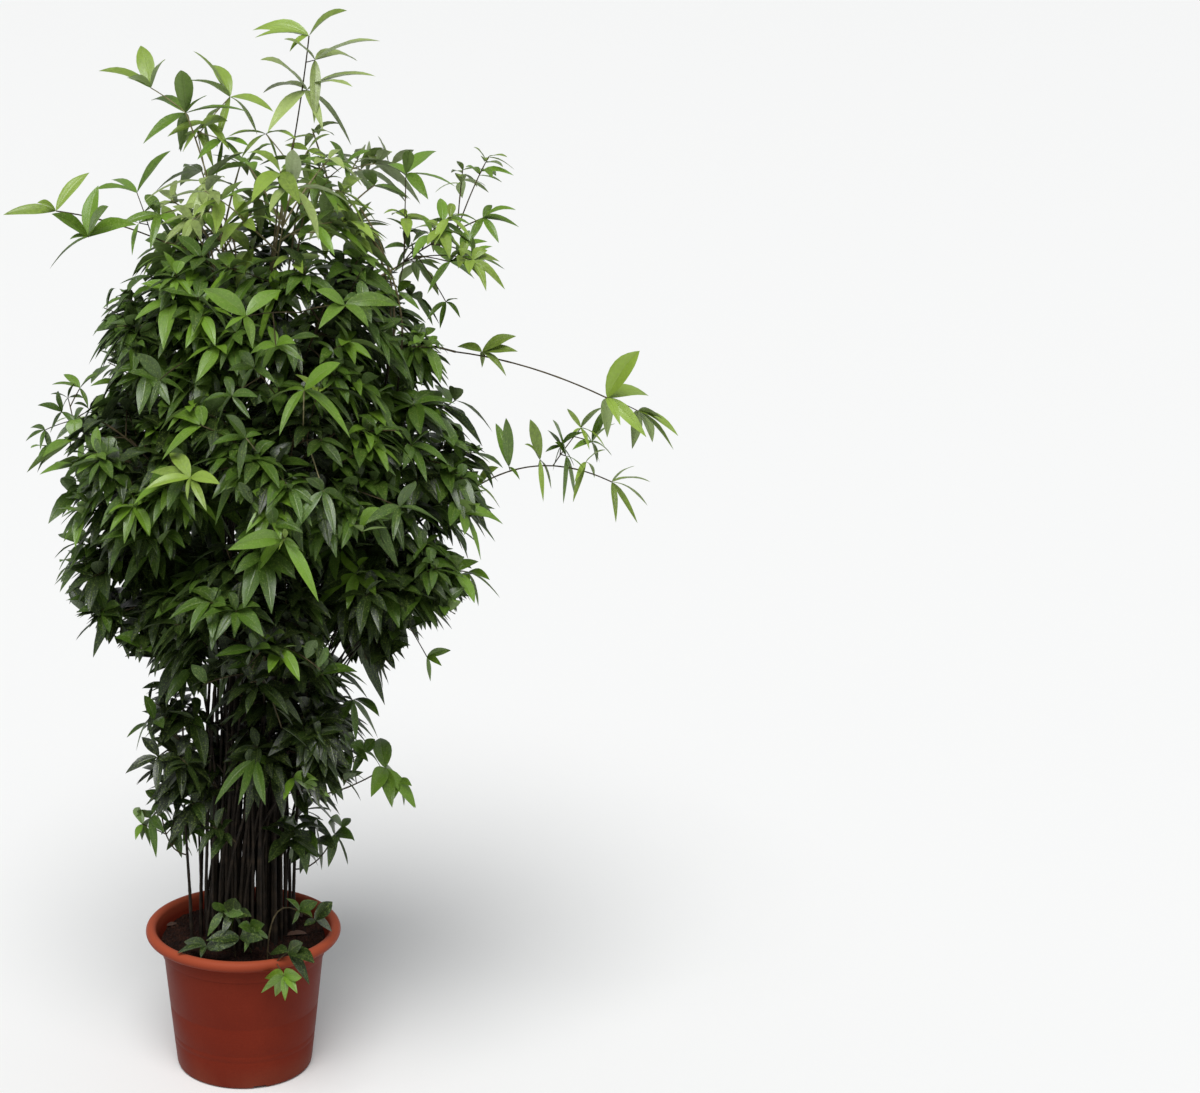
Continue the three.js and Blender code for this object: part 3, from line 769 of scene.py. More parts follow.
masses = []
for ring in ("skirt", "belly", "breast", "shoulder"):
    for name, centre, outward, ends, reach in ring_places(ring):
        lead = (outward * ring_lean + up).normalized()
        start = centre - lead * stem_start * reach
        top = start + lead * stem_share * reach
        masses.append(Mass(name, "dense", start, lead, crown_bend, [top, *ends], centre, reach))
for name, (kind, start, ends) in lone_shoots.items():
    ends = [Vector(end) for end in ends]
    lead = (ends[0] - Vector(start)).normalized()
    masses.append(Mass(name, kind, Vector(start), lead, crown_bend, ends, *space_around(kind, ends)))
cane_lines = {m.name: cane_line(cane_foot("cane_" + m.name), m.start, m.lead) for m in masses}
cane_lines["bare_left"] = cane_line(cane_foot("cane_bare_left"), bare_cane_tip, up)
for (name, centre, outward, ends, reach), cane in zip(ring_places("crest"), crest_canes):
    start, lead = side_start(cane, crest_leave, centre)
    masses.append(Mass(name, "loose", start, lead, side_bend, [centre, *ends], centre, reach))
for name, (cane, height, ends) in side_shoots.items():
    ends = [Vector(end) for end in ends]
    start, lead = side_start(cane, height, ends[0])
    masses.append(Mass(name, "sprig", start, lead, side_bend, ends, *space_around("sprig", ends)))
for name, (root, bend, ends) in suckers.items():
    ends = [Vector(end) for end in ends]
    start = Vector((*root, soil_top - sucker_depth))
    masses.append(Mass(name, "sprig", start, up, bend, ends, *space_around("sprig", ends)))

# The canes
# Woody stems as thick as a pencil, dark brown and ringed by the scars of old leaves. Each one that the
# solids have is joined by more slender ones, which crowd in between and run up into the same masses.
cane_foot_radius = 0.0029
cane_top_radius = 0.0015
cane_flare = 1.3
slender_canes = 88
slender_foot_radius = 0.0023
slender_top_radius = 0.0011
slender_spread = 0.078
slender_apart = 0.0108
slender_sunk = 0.003
feet_tried = 4000
feet_a_round = 600
cane_waver = 0.0018
slender_waver = 0.007
waver_scale = 9
waver_seeds = 50
crown_shift = Vector((0.055, 0, 0))
goals_near = 5
goal_scatter = 0.3
goal_below = 0.25
straw_from = 1.2
straw_above = 1.5
scar_from = 0.72
bark_lumps = 95.0

# The noise vectors that the canes waver by have a seed of their own, which is set here as well, so
# that the same canes grow at each run
cane_seed = 5
cane_random = np.random.default_rng(cane_seed)
noise.seed_set(cane_seed)


def wavering(line, amount):
    """A line with a slow waver between its ends, as a grown cane has."""
    shift = Vector(cane_random.uniform(0, waver_seeds, 3))
    made = []
    for i, place in enumerate(line):
        wave = noise.noise_vector(shift + place * waver_scale)
        share = math.sin(math.pi * i / (len(line) - 1))
        made.append(place + Vector((wave.x, wave.y, 0)) * amount * share)
    return made


def slender_feet():
    """Places for the slender canes: a spiral over the clump's foot, clear of the canes that stand there."""
    standing = [line[0] for line in cane_lines.values()]
    found = []
    for turn in range(feet_tried):
        away = slender_spread * math.sqrt(turn / feet_a_round % 1)
        bearing = turn * golden_angle
        foot = Vector((away * math.cos(bearing), away * math.sin(bearing), soil_top - slender_sunk))
        if all((foot - other).xy.length > slender_apart for other in standing + found):
            found.append(foot)
        if len(found) == slender_canes:
            break
    return found


def tapering(first, last, count):
    """Radii that fall evenly from first to last."""
    return [first + (last - first) * i / (count - 1) for i in range(count)]


def limb_mesh(name, limbs):
    """Lines of edges with a radius at each point, from (points, radii) pairs."""
    points, edges, radii = [], [], []
    for line, thick in limbs:
        first = len(points)
        points += [tuple(p) for p in line]
        radii += list(thick)
        edges += [(first + i, first + i + 1) for i in range(len(line) - 1)]
    data = bpy.data.meshes.new(name)
    data.from_pydata(points, edges, [])
    width = data.attributes.new("limb_radius", "FLOAT", "POINT")
    width.data.foreach_set("value", np.array(radii, np.float32))
    return data


def limb_tree():
    """Turns lines into round limbs, swollen at even steps where old leaves have left their scars."""
    tree, nodes = new_tree(
        "limb_growth",
        {
            "in": "NodeGroupInput",
            "line": "GeometryNodeMeshToCurve",
            "wide": "GeometryNodeInputNamedAttribute",
            "radius": "GeometryNodeSetCurveRadius",
            "even": "GeometryNodeResampleCurve",
            "along": "GeometryNodeSplineParameter",
            "steps": "ShaderNodeMath",
            "wrap": "ShaderNodeMath",
            "ridge": "ShaderNodeMapRange",
            "keep": "GeometryNodeStoreNamedAttribute",
            "ring": "GeometryNodeCurvePrimitiveCircle",
            "skin": "GeometryNodeCurveToMesh",
            "scar": "GeometryNodeInputNamedAttribute",
            "swell": "ShaderNodeMath",
            "lumps": "ShaderNodeTexNoise",
            "lump": "ShaderNodeMath",
            "total": "ShaderNodeMath",
            "normal": "GeometryNodeInputNormal",
            "push": "ShaderNodeVectorMath",
            "shape": "GeometryNodeSetPosition",
            "real": "GeometryNodeRealizeInstances",
            "finish": "GeometryNodeSetMaterial",
            "out": "NodeGroupOutput",
        },
        Sides="Int",
        Step="Float",
        Scar_Spacing="Float",
        Scar_Swell="Float",
        Waver="Float",
        Material="Material",
    )
    for label in ("wide", "keep", "scar"):
        nodes[label].data_type = "FLOAT"
    nodes["keep"].domain = "POINT"
    nodes["even"].mode = "LENGTH"
    nodes["steps"].operation = "DIVIDE"
    nodes["wrap"].operation = "FRACT"
    nodes["swell"].operation = "MULTIPLY"
    nodes["lump"].operation = "MULTIPLY"
    nodes["total"].operation = "ADD"
    nodes["push"].operation = "SCALE"
    set_inputs(nodes, (
        ("wide", "Name", "limb_radius"),
        ("ridge", "From Min", scar_from),
        ("ridge", "From Max", 1.0),
        ("keep", "Name", "scar"),
        ("ring", "Radius", 1.0),
        ("skin", "Fill Caps", True),
        ("scar", "Name", "scar"),
        ("lumps", "Scale", bark_lumps),
    ))
    join_nodes(tree, nodes, (
        ("in", "Geometry", "line", "Mesh"),
        ("line", "Curve", "radius", "Curve"),
        ("wide", "Attribute", "radius", "Radius"),
        ("radius", "Curve", "even", "Curve"),
        ("in", "Step", "even", "Length"),
        ("along", "Length", "steps", 0),
        ("in", "Scar Spacing", "steps", 1),
        ("steps", 0, "wrap", 0),
        ("wrap", 0, "ridge", "Value"),
        ("even", "Curve", "keep", "Geometry"),
        ("ridge", "Result", "keep", "Value"),
        ("keep", "Geometry", "skin", "Curve"),
        ("in", "Sides", "ring", "Resolution"),
        ("ring", "Curve", "skin", "Profile Curve"),
        ("scar", "Attribute", "swell", 0),
        ("in", "Scar Swell", "swell", 1),
        ("lumps", "Fac", "lump", 0),
        ("in", "Waver", "lump", 1),
        ("swell", 0, "total", 0),
        ("lump", 0, "total", 1),
        ("normal", "Normal", "push", 0),
        ("total", 0, "push", "Scale"),
        ("skin", "Mesh", "shape", "Geometry"),
        ("push", "Vector", "shape", "Offset"),
        ("shape", "Geometry", "real", "Geometry"),
        ("real", "Geometry", "finish", "Geometry"),
        ("in", "Material", "finish", "Material"),
        ("finish", "Geometry", "out", "Geometry"),
    ))
    if "Scale" in nodes["skin"].inputs:
        join_nodes(tree, nodes, (("wide", "Attribute", "skin", "Scale"),))
    return tree


def bark_finish(name, dark, pale, scar_tone, scale, young=None):
    """Thin bark: streaked and dull, with paler scars where leaves have dropped, and straw where young."""
    finish = Finish(name, 0.72, 0.25)
    place = finish.object_place()
    uneven = finish.mottled(place, scale, scale * 14)
    scar = finish.node("ShaderNodeAttribute", attribute_name="scar")
    tone = finish.blend(uneven.outputs["Blotch"], dark, pale)
    tone = finish.blend(uneven.outputs["Grain"], tone, dark, 0.5)
    if young:
        height = finish.node("ShaderNodeSeparateXYZ")
        finish.join(place, height.inputs["Vector"])
        tone = finish.blend(finish.ranged(height.outputs["Z"], straw_from, straw_above, 0, 1), tone, young)
    tone = finish.blend(scar.outputs["Fac"], tone, scar_tone, 0.5)
    finish.join(tone, finish.shader.inputs["Base Color"])
    finish.join(finish.ranged(uneven.outputs["Grain"], 0, 1, 0.6, 0.85), finish.shader.inputs["Roughness"])
    finish.relief(uneven.outputs["Grain"], 0.0006)
    return finish.material


def bearing_between(first, second):
    """The angle between two places' bearings from the plant's middle."""
    return abs(math.remainder(math.atan2(first.y, first.x) - math.atan2(second.y, second.x), 2 * math.pi))


limb_growth = limb_tree()
cane_limbs = []
for line in cane_lines.values():
    thick = tapering(cane_foot_radius, cane_top_radius, len(line))
    thick[0] *= cane_flare
    cane_limbs.append((wavering(line, cane_waver), thick))
goals = [m for m in masses if m.kind in ("dense", "loose")]
slender_lines = []
for i, foot in enumerate(slender_feet()):
    near = sorted(goals, key=lambda m: bearing_between(m.centre - crown_shift, foot))
    goal = near[i % goals_near]
    offset = Vector(cane_random.uniform(-goal_scatter, goal_scatter, 3)) * goal.reach
    line = cane_line(foot, goal.centre + offset - goal.lead * goal_below * goal.reach, goal.lead)
    slender_lines.append(wavering(line, slender_waver))
    thick = tapering(slender_foot_radius, slender_top_radius, len(line))
    cane_limbs.append((slender_lines[-1], thick))
cane_tones = (colour(22, 17, 11), colour(42, 33, 22), colour(62, 50, 36))
cane_bark = bark_finish("cane_bark", *cane_tones, 45.0, young=colour(124, 114, 78))
cane_data = grown_mesh(
    "canes", limb_mesh("cane_lines", cane_limbs), limb_growth, Sides=7, Step=0.008,
    Scar_Spacing=0.034, Scar_Swell=0.0005, Waver=0.0006, Material=cane_bark,
)
cane_data.shade_smooth()
cane_piece = put_mesh("canes", cane_data)
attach(cane_piece, "root")
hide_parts(*(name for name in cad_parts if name.startswith("cane_")))

# The twigs
# Thin shoots that carry each mass on from its cane: a stem, its twigs, and finer ones by the same
# rule, each leaving the nearest limb a little before the place that is nearest to its own tip.
twig_radius = 0.0017
fine_radius = 0.0011
stem_radius = 0.0012
show_radius = 0.0009
fine_taper = 0.6
show_taper = 0.8
twig_rise = 0.1
show_rise = 0.05
leave_back = 0.5
lowest_whorl = 0.15
twig_steps = 8
fine_steps = 7
shortest_twig = 0.01
fine_scatter = 6.0
young_beyond = -0.34

# How many finer twigs a mass has, how deep in its space the innermost and outermost end (shares of its
# reach), how high and how low they may point, how many whorls each has, and how far apart these are
fine_growth = {
    "skirt": (25, 0.30, 0.90, 1.0, -1.0, 3, 0.026),
    "belly": (46, 0.24, 0.93, 1.0, -1.0, 4, 0.023),
    "breast": (57, 0.24, 0.93, 1.0, -1.0, 4, 0.023),
    "shoulder": (68, 0.24, 0.95, 0.95, -1.0, 4, 0.024),
    "crest": (18, 0.30, 0.92, 0.20, -1.0, 2, 0.034),
    "right_shoulder": (9, 0.30, 0.80, 0.9, -0.5, 2, 0.028),
}

# The crown draws in above its fullest part, and under it to a waist, from which leaves spread again
crown_axis = Vector((0.050, 0, 0))
waist_top = 0.90
waist_height = 0.74
waist_radius = 0.225
waist_slope = 0.95
brow_height = 1.15
brow_radius = 0.352
brow_slope = 0.36

# Short leafy twigs low on the slender canes: how many, the heights between which they leave their
# canes, how long they are, and how much they rise
low_twigs = 22
low_from = 0.38
low_to = 0.60
low_length = 0.055
low_rise = 0.35
low_turn = 0.9
low_layers = 2
low_gap = 0.026
clump_axis = Vector((0, -0.004, 0))

# The whorls that stand out one by one, as the front shows them, by the mass that carries them, or the
# nearest where none is named: each one's depth, its green, and the pixels of its middle and leaf tips.
# Each green is matched to how light the whorl looks, so it paints light and shade along with its own colour.
show_whorls = {
    "leader": (
        (0.000, "lime", (309, 36), (348, 8), (256, 26), (254, 37), (290, 52)),
        (-0.005, "pale", (315, 60), (379, 42), (357, 61), (286, 41), (316, 124)),
        (0.005, "pale", (307, 90), (258, 58), (265, 93), (270, 134), (316, 130),
            (352, 146), (375, 77), (352, 87)),
    ),
    "left_leader": (
        (-0.020, "bright", (186, 113), (183, 70), (147, 102), (146, 146), (249, 111),
            (179, 152), (206, 96)),
        (0.020, "lime", (151, 88), (99, 69), (139, 46), (165, 60), (120, 81)),
        (0.030, "lime", (230, 97), (193, 50), (213, 65), (190, 81), (273, 112), (256, 134), (218, 148)),
        (0.010, "lime", (205, 122), (184, 152), (212, 166), (228, 152), (168, 138), (224, 106)),
        (-0.015, "bright", (222, 140), (196, 158), (216, 178), (244, 168), (250, 146)),
    ),
    "crest_1": (
        (-0.010, "pale", (208, 182), (143, 202), (241, 192), (196, 240), (174, 241),
            (214, 168), (243, 153)),
        (0.010, "lime", (197, 130), (214, 168), (178, 150), (228, 120)),
        (-0.030, "bright", (160, 215), (118, 232), (142, 196), (190, 236), (150, 250)),
    ),
    "crest_2": (
        (-0.020, "lime", (266, 134), (297, 140), (280, 171), (228, 137), (240, 160)),
        (0.000, "lime", (308, 150), (330, 134), (284, 146), (308, 177), (325, 158)),
        (-0.060, "bright", (262, 190), (222, 200), (300, 196), (248, 168), (270, 226)),
    ),
    "crest_3": (
        (0.000, "bright", (345, 165), (370, 152), (318, 172), (352, 196), (330, 140)),
    ),
    "far_left": (
        (-0.020, "lime", (56, 211), (3, 217), (88, 172), (37, 203)),
        (-0.060, "bright", (88, 237), (50, 219), (91, 186), (108, 204), (136, 222), (48, 271), (70, 240)),
        (0.040, "bright", (137, 193), (92, 188), (105, 181), (171, 151)),
        (0.010, "bright", (139, 223), (157, 202), (185, 224), (132, 256), (96, 232)),
    ),
    "right_shoulder": (
        (0.030, "bright", (483, 218), (516, 210), (518, 225), (499, 243), (469, 243), (492, 205)),
        (0.000, "bright", (406, 174), (408, 150), (440, 152), (456, 187), (428, 200), (385, 165)),
        (-0.040, "bright", (450, 262), (482, 258), (475, 280), (428, 295), (470, 248), (432, 246)),
        (0.020, "bright", (446, 302), (458, 299), (440, 329), (425, 318), (461, 318)),
        (0.020, "middle", (408, 248), (384, 250), (396, 272), (428, 262), (430, 244), (402, 228)),
        (0.000, "bright", (398, 292), (372, 296), (388, 314), (420, 310), (412, 282)),
    ),
    "side_upper": (
        (-0.090, "lime", (607, 398), (640, 351), (651, 398), (646, 438), (618, 426), (604, 437)),
        (-0.070, "lime", (638, 411), (674, 450), (633, 450), (677, 437), (664, 421), (658, 444)),
        (-0.050, "lime", (482, 352), (517, 338), (458, 346), (507, 376), (518, 351), (484, 368)),
    ),
    "side_lower": (
        (0.090, "lime", (612, 482), (632, 467), (650, 482), (617, 523), (635, 525), (648, 506)),
        (0.080, "lime", (581, 428), (604, 407), (563, 409), (589, 450), (570, 437), (600, 463), (606, 448)),
        (0.075, "bright", (592, 442), (614, 424), (599, 464), (572, 450), (606, 410), (612, 456)),
        (0.055, "middle", (561, 446), (547, 430), (553, 470), (582, 430), (545, 452), (574, 466)),
        (0.065, "lime", (586, 462), (577, 484), (598, 480), (603, 452), (572, 502)),
        (0.060, "bright", (566, 456), (553, 424), (575, 498), (584, 470), (556, 440), (563, 504)),
        (0.050, "lime", (540, 460), (531, 419), (550, 488), (542, 502), (525, 445)),
        (0.040, "bright", (509, 467), (505, 418), (497, 423), (520, 480)),
        (0.030, "lime", (478, 486), (496, 463), (501, 510), (481, 523), (462, 470)),
    ),
    "left_spray": (
        (-0.030, "middle", (74, 424), (56, 440), (70, 450), (92, 440), (84, 408)),
        (0.030, "middle", (68, 398), (50, 394), (60, 416), (84, 398), (76, 382)),
        (-0.010, "deep", (90, 410), (74, 404), (82, 430), (104, 424), (98, 396)),
        (0.000, "middle", (45, 430), (25, 441), (32, 426), (52, 455), (40, 450)),
        (-0.020, "middle", (62, 412), (38, 404), (50, 433), (78, 428), (60, 392)),
        (0.020, "bright", (80, 388), (52, 386), (64, 374), (100, 374), (88, 408)),
    ),
    "low_right": (
        (0.000, "bright", (385, 768), (414, 809), (402, 785), (390, 808), (372, 798), (376, 738)),
        (-0.020, "middle", (352, 750), (330, 778), (345, 788), (368, 762), (340, 735)),
        (0.000, "bright", (398, 780), (416, 808), (404, 806), (412, 786), (392, 798)),
        (-0.010, "middle", (332, 752), (312, 778), (322, 790), (344, 780), (318, 746)),
        (-0.015, "middle", (365, 752), (352, 776), (382, 770), (376, 740), (350, 744)),
    ),
    "pot_right": (
        (0.000, "middle", (335, 834), (353, 840), (346, 862), (330, 868), (328, 822)),
        (-0.014, "middle", (302, 832), (283, 818), (290, 866), (304, 875), (318, 858), (314, 824)),
        (-0.010, "middle", (292, 826), (276, 822), (284, 846), (302, 838), (296, 812)),
        (-0.005, "deep", (318, 838), (306, 856), (322, 870), (334, 852), (314, 822)),
        (0.005, "middle", (342, 828), (354, 842), (350, 818), (336, 846), (330, 818)),
        (-0.010, "deep", (306, 850), (300, 874), (318, 866), (290, 862)),
    ),
    "low_left": (
        (-0.010, "middle", (160, 800), (146, 790), (178, 792), (150, 818), (172, 816)),
        (0.000, "deep", (178, 836), (166, 850), (192, 856), (196, 832), (170, 826)),
        (-0.015, "middle", (186, 812), (204, 800), (206, 826), (180, 838), (174, 802)),
        (-0.015, "bright", (142, 824), (137, 806), (151, 846), (135, 840)),
        (-0.010, "middle", (156, 812), (138, 818), (150, 832), (170, 824), (162, 796)),
        (-0.005, "deep", (174, 820), (160, 834), (176, 842), (192, 836), (188, 812)),
        (-0.010, "middle", (190, 828), (182, 846), (198, 852), (208, 838), (200, 816)),
        (-0.020, "middle", (150, 818), (136, 811), (140, 842), (156, 858), (165, 832)),
        (0.006, "middle", (172, 822), (182, 858), (191, 844), (160, 806), (188, 815)),
    ),
    "pot_front": (
        (-0.090, "middle", (223, 912), (208, 937), (233, 934), (244, 914), (214, 902)),
        (-0.118, "deep", (240, 938), (263, 938), (252, 956), (212, 950), (206, 940)),
        (-0.100, "deep", (232, 915), (222, 936), (246, 938), (252, 916), (236, 898), (214, 910)),
        (-0.130, "middle", (252, 932), (244, 952), (270, 940), (262, 920), (238, 926)),
        (-0.120, "deep", (206, 946), (177, 954), (182, 944), (200, 958), (222, 952)),
    ),
    "pot_rim": (
        (-0.080, "middle", (300, 912), (318, 902), (286, 898), (314, 917), (292, 924)),
        (-0.090, "deep", (316, 920), (336, 905), (332, 932), (304, 926), (322, 903)),
        (-0.194, "bright", (284, 976), (261, 992), (274, 995), (298, 993), (303, 980),
            (264, 979), (285, 1001)),
        (-0.170, "deep", (288, 952), (316, 962), (268, 956), (311, 983), (304, 946)),
    ),
    None: (
        (-0.330, "bright", (246, 316), (200, 292), (281, 290), (253, 349), (226, 330)),
        (-0.325, "bright", (345, 305), (316, 294), (401, 306), (319, 330), (370, 327)),
        (-0.345, "bright", (304, 390), (342, 370), (264, 405), (278, 436), (351, 438), (331, 424)),
        (-0.345, "middle", (246, 438), (224, 420), (262, 434), (237, 479), (212, 446)),
        (-0.330, "lime", (190, 478), (145, 489), (152, 470), (220, 486), (205, 513),
            (172, 452), (188, 500)),
        (-0.335, "middle", (252, 504), (238, 482), (276, 500), (262, 516)),
        (-0.350, "bright", (284, 540), (228, 549), (250, 589), (320, 601), (300, 548)),
        (-0.354, "lime", (285, 538), (278, 550), (293, 548), (286, 528)),
        (-0.020, "bright", (468, 572), (500, 598), (478, 606), (490, 580), (462, 598), (452, 584)),
        (-0.300, "middle", (254, 368), (228, 372), (240, 398), (274, 384), (264, 350), (236, 352)),
        (-0.290, "bright", (276, 346), (250, 352), (262, 372), (304, 362), (296, 338), (270, 326)),
        (-0.310, "middle", (232, 396), (204, 402), (218, 424), (250, 420), (258, 398), (226, 376)),
        (-0.345, "middle", (323, 491), (292, 534), (354, 514), (338, 535), (310, 476)),
        (-0.300, "middle", (400, 507), (364, 522), (441, 523), (389, 540), (412, 482)),
        (-0.300, "middle", (160, 380), (128, 372), (186, 396), (150, 410), (140, 352)),
        (-0.050, "middle", (352, 700), (382, 716), (378, 738), (356, 742), (336, 728), (330, 700)),
        (-0.060, "deep", (330, 716), (312, 742), (326, 748), (346, 744), (318, 704)),
        (-0.170, "middle", (256, 760), (213, 803), (287, 777), (260, 808), (236, 800)),
        (-0.150, "bright", (294, 778), (330, 800), (314, 806), (282, 800), (318, 780)),
        (-0.220, "bright", (292, 652), (264, 677), (284, 680), (312, 664), (272, 648)),
        (-0.020, "middle", (148, 722), (128, 738), (136, 752), (158, 752), (168, 730)),
        (-0.100, "bright", (427, 657), (452, 652), (430, 682), (442, 666)),
    ),
}
seen = {}
dense_masses = [m for m in masses if m.kind == "dense"]
for carrier, rows in show_whorls.items():
    for depth, green, middle, *tips in rows:
        place = seen_at(middle, depth)
        name = carrier or min(dense_masses, key=lambda m: m.power(place)).name
        seen.setdefault(name, []).append((place, depth, green, tips))


def in_own_space(place, mass):
    """Whether a place lies in a mass's ball, and on its side of where it meets each other ball."""
    own = mass.power(place)
    return own < 0 and all(own <= other.power(place) for other in masses if other is not mass)


def past_outline(place, mass):
    """Whether a place in a dense mass lies where the crown draws in, over or under its fullest part."""
    away = (place - crown_axis).xy.length
    below = place.z < waist_top and away > waist_radius + waist_slope * max(0.0, place.z - waist_height)
    above = place.z > brow_height and away > brow_radius - brow_slope * (place.z - brow_height)
    return mass.kind == "dense" and (below or above)


def branch_from(limbs, tip):
    """The place on the nearest limb where a twig to a tip leaves it."""
    spots = (((p - tip).length, n, i) for n, line in enumerate(limbs) for i, p in enumerate(line))
    distance, n, i = min(spots)
    line = limbs[n]
    step = max((line[-1] - line[0]).length / (len(line) - 1), 1e-4)
    back = round(leave_back * distance / step)
    return line[min(max(i - back, 1), len(line) - 1)]


def bowed(root, tip, rise, steps):
    """A twig's line, bowed up a little between its root and tip."""
    middle = root.lerp(tip, 0.5) + up * rise * (tip - root).length
    return bent(root, middle, tip, steps)


class Whorl:
    """A ring of leaves on a twig: where it stands, which way it faces, and where its leaves end."""

    def __init__(self, mass, line, share=1.0, green=None, depth=0.0, tips=(), main=False):
        k = min(int(share * (len(line) - 1)), len(line) - 2)
        self.mass = mass
        self.place = line[k].lerp(line[k + 1], share * (len(line) - 1) - k)
        self.tangent = (line[k + 1] - line[k]).normalized()
        self.last = share == 1.0
        self.green = green
        self.depth = depth
        self.tips = tips
        self.main = main


def grow_fine_twig(mass, limbs, tip, bark, layers, apart):
    """A finer twig to a tip, with its whorls from the tip back."""
    line = bowed(branch_from(limbs, tip), tip, twig_rise, fine_steps)
    bark.append((line, tapering(fine_radius, fine_taper * fine_radius, len(line))))
    length = sum((b - a).length for a, b in zip(line, line[1:]))
    for layer in range(layers):
        share = 1 - layer * apart / max(length, shortest_twig)
        if share > lowest_whorl:
            whorls.append(Whorl(mass, line, share))


whorls = []
twig_limbs = {"brown": [], "pale": []}
for number, mass in enumerate(masses):
    random = seeded_random(1 + seed_step * number)
    shown = seen.get(mass.name, [])
    lone = mass.kind in ("spray", "sprig")
    stem = mass.stem_to(shown[0][0] if lone else mass.ends[0])
    bark = twig_limbs["pale" if mass.kind == "loose" or mass.name == "left_leader" else "brown"]
    bark.append((stem, tapering(stem_radius if lone else cane_top_radius, fine_radius, len(stem))))
    limbs = [stem]
    if not lone:
        for end in mass.ends[1:]:
            line = bowed(branch_from([stem], end), end, twig_rise, twig_steps)
            limbs.append(line)
            bark.append((line, tapering(twig_radius, fine_radius, len(line))))
            whorls.append(Whorl(mass, line, main=True))
    main_limbs = list(limbs)
    for place, depth, green, tips in shown:
        line = bowed(branch_from(limbs, place), place, show_rise, twig_steps)
        limbs.append(line)
        young = twig_limbs["pale"] if place.y < young_beyond else bark
        young.append((line, tapering(show_radius, show_taper * show_radius, len(line))))
        whorls.append(Whorl(mass, line, green=green, depth=depth, tips=tips))
    ring = mass.name if mass.name in fine_growth else mass.name[:-2]
    count, inner, outer, highest, lowest, layers, apart = fine_growth.get(ring, (0,) * 7)
    for i in range(count):
        height = highest + (lowest - highest) * (i + 0.5) / count
        width = math.sqrt(1 - height * height)
        turn = i * golden_angle + fine_scatter * random()
        share = inner + (outer - inner) * math.sqrt(random())
        away = Vector((width * math.cos(turn), width * math.sin(turn), height))
        tip = mass.centre + away * share * mass.reach
        if in_own_space(tip, mass) and not past_outline(tip, mass):
            grow_fine_twig(mass, main_limbs, tip, bark, layers, apart)
for i, line in zip(range(low_twigs), sorted(slender_lines, key=lambda s: -(s[0] - clump_axis).xy.length)):
    height = low_from + (low_to - low_from) * (i * golden_angle % 1)
    k = min(range(len(line)), key=lambda n: abs(line[n].z - height))
    outward = (line[k] - clump_axis).xy.normalized().to_3d()
    outward.rotate(Quaternion(up, low_turn * math.sin(5 * i)))
    tip = line[k] + (outward + up * low_rise) * low_length
    skirt = min((m for m in masses if m.name.startswith("skirt")), key=lambda m: m.power(tip))
    grow_fine_twig(skirt, [line[:k + 1]], tip, twig_limbs["brown"], low_layers, low_gap)

twig_tones = {
    "brown": (colour(52, 44, 28), colour(88, 78, 50), colour(116, 104, 76)),
    "pale": (colour(124, 116, 78), colour(172, 164, 124), colour(188, 178, 142)),
}
for tone, limbs in twig_limbs.items():
    twig_bark = bark_finish("twig_bark_" + tone, *twig_tones[tone], 60.0)
    twig_data = grown_mesh(
        "twigs", limb_mesh("twig_lines", limbs), limb_growth, Sides=6, Step=0.012,
        Scar_Spacing=0.022, Scar_Swell=0.0003, Waver=0.0003, Material=twig_bark,
    )
    twig_data.shade_smooth()
    twig_piece = put_mesh("twigs_" + tone, twig_data)
    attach(twig_piece, "root")
    if tone == "brown":
        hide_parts(*(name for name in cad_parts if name.startswith("foliage_")))

# The leaves
# Thin smooth blades in whorls of three to six, dark and glossy above and paler below. Each is folded
# a little along its midrib, arches over and hangs by its tip. Their greens paint light and shade: darker
# as painted shade deep inside and low in the crown, lighter as painted light at its top and outside, and
# lighter too at the young tips.

# Each kind's length, its width as a share of that, how far it droops, and how many are in a whorl
leaf_kinds = {
    "dense": (0.058, 0.37, 0.10, 5),
    "loose": (0.066, 0.30, 0.00, 5),
    "spray": (0.050, 0.33, 0.10, 5),
    "sprig": (0.050, 0.38, 0.20, 4),
}
usual_width = 0.27
show_width = {
    "side_lower": 0.18, "side_upper": 0.27, "leader": 0.25, "left_leader": 0.24, "far_left": 0.23,
    "low_left": 0.34, "low_right": 0.38, "pot_right": 0.42, "pot_front": 0.40, "pot_rim": 0.40,
}
leaf_angle = 1.25
leaf_scatter = 0.012
whorl_upright = 0.9
leaf_outward = 0.35
leaf_forward = 0.4
leaf_thickness = 0.0004
leaf_widest = 0.46
base_fullness = 0.85
tip_fullness = 0.92
leaf_cup = 0.10
leaf_ripple = 0.06
ripple_along = 9
ripple_across = 5
ripple_shift = 20
leaf_specular = 0.6
leaf_roughness = (0.30, 0.55)
leaf_vein_tones = (colour(140, 160, 80), colour(140, 156, 104))
nearest_leaf = -0.405
most_in_a_piece = 3600
low_reach = 0.15
low_over = 0.02
leaf_random = np.random.default_rng(29)

# How a leaf's skin is marked: its midrib, its slanting veins, and flecks where the grain is highest
rib_width = 0.14
rib_strength = 0.16
vein_count = 34.0
vein_slant = 6.0
vein_strength = 0.08
fleck_grain = (0.66, 0.90)
fleck_strength = 0.42
blotch_darkening = 0.6
# How much paler each leaf's tint lifts its green, and how far: partly its own uneven colour, partly a painted
# sheen
tint_sheen_lightening = 1.7
tint_sheen_strength = 0.7

# How leaves differ from one to the next: each of these is a spread, or the least and the most
leaf_roll = 0.3
leaf_sway = 0.06
leaf_folds = (0.12, 0.4)
leaf_bearing = 0.3
leaf_angles = (0.75, 1.15)
leaf_droops = (0.2, 1.5)
leaf_sags = (0.2, 0.62)
leaf_lengths = (0.8, 1.2)
whorl_lengths = (0.8, 1.25)
show_sags = (0.25, 0.5)
show_widths = (0.9, 1.1)
light_uneven = 0.12

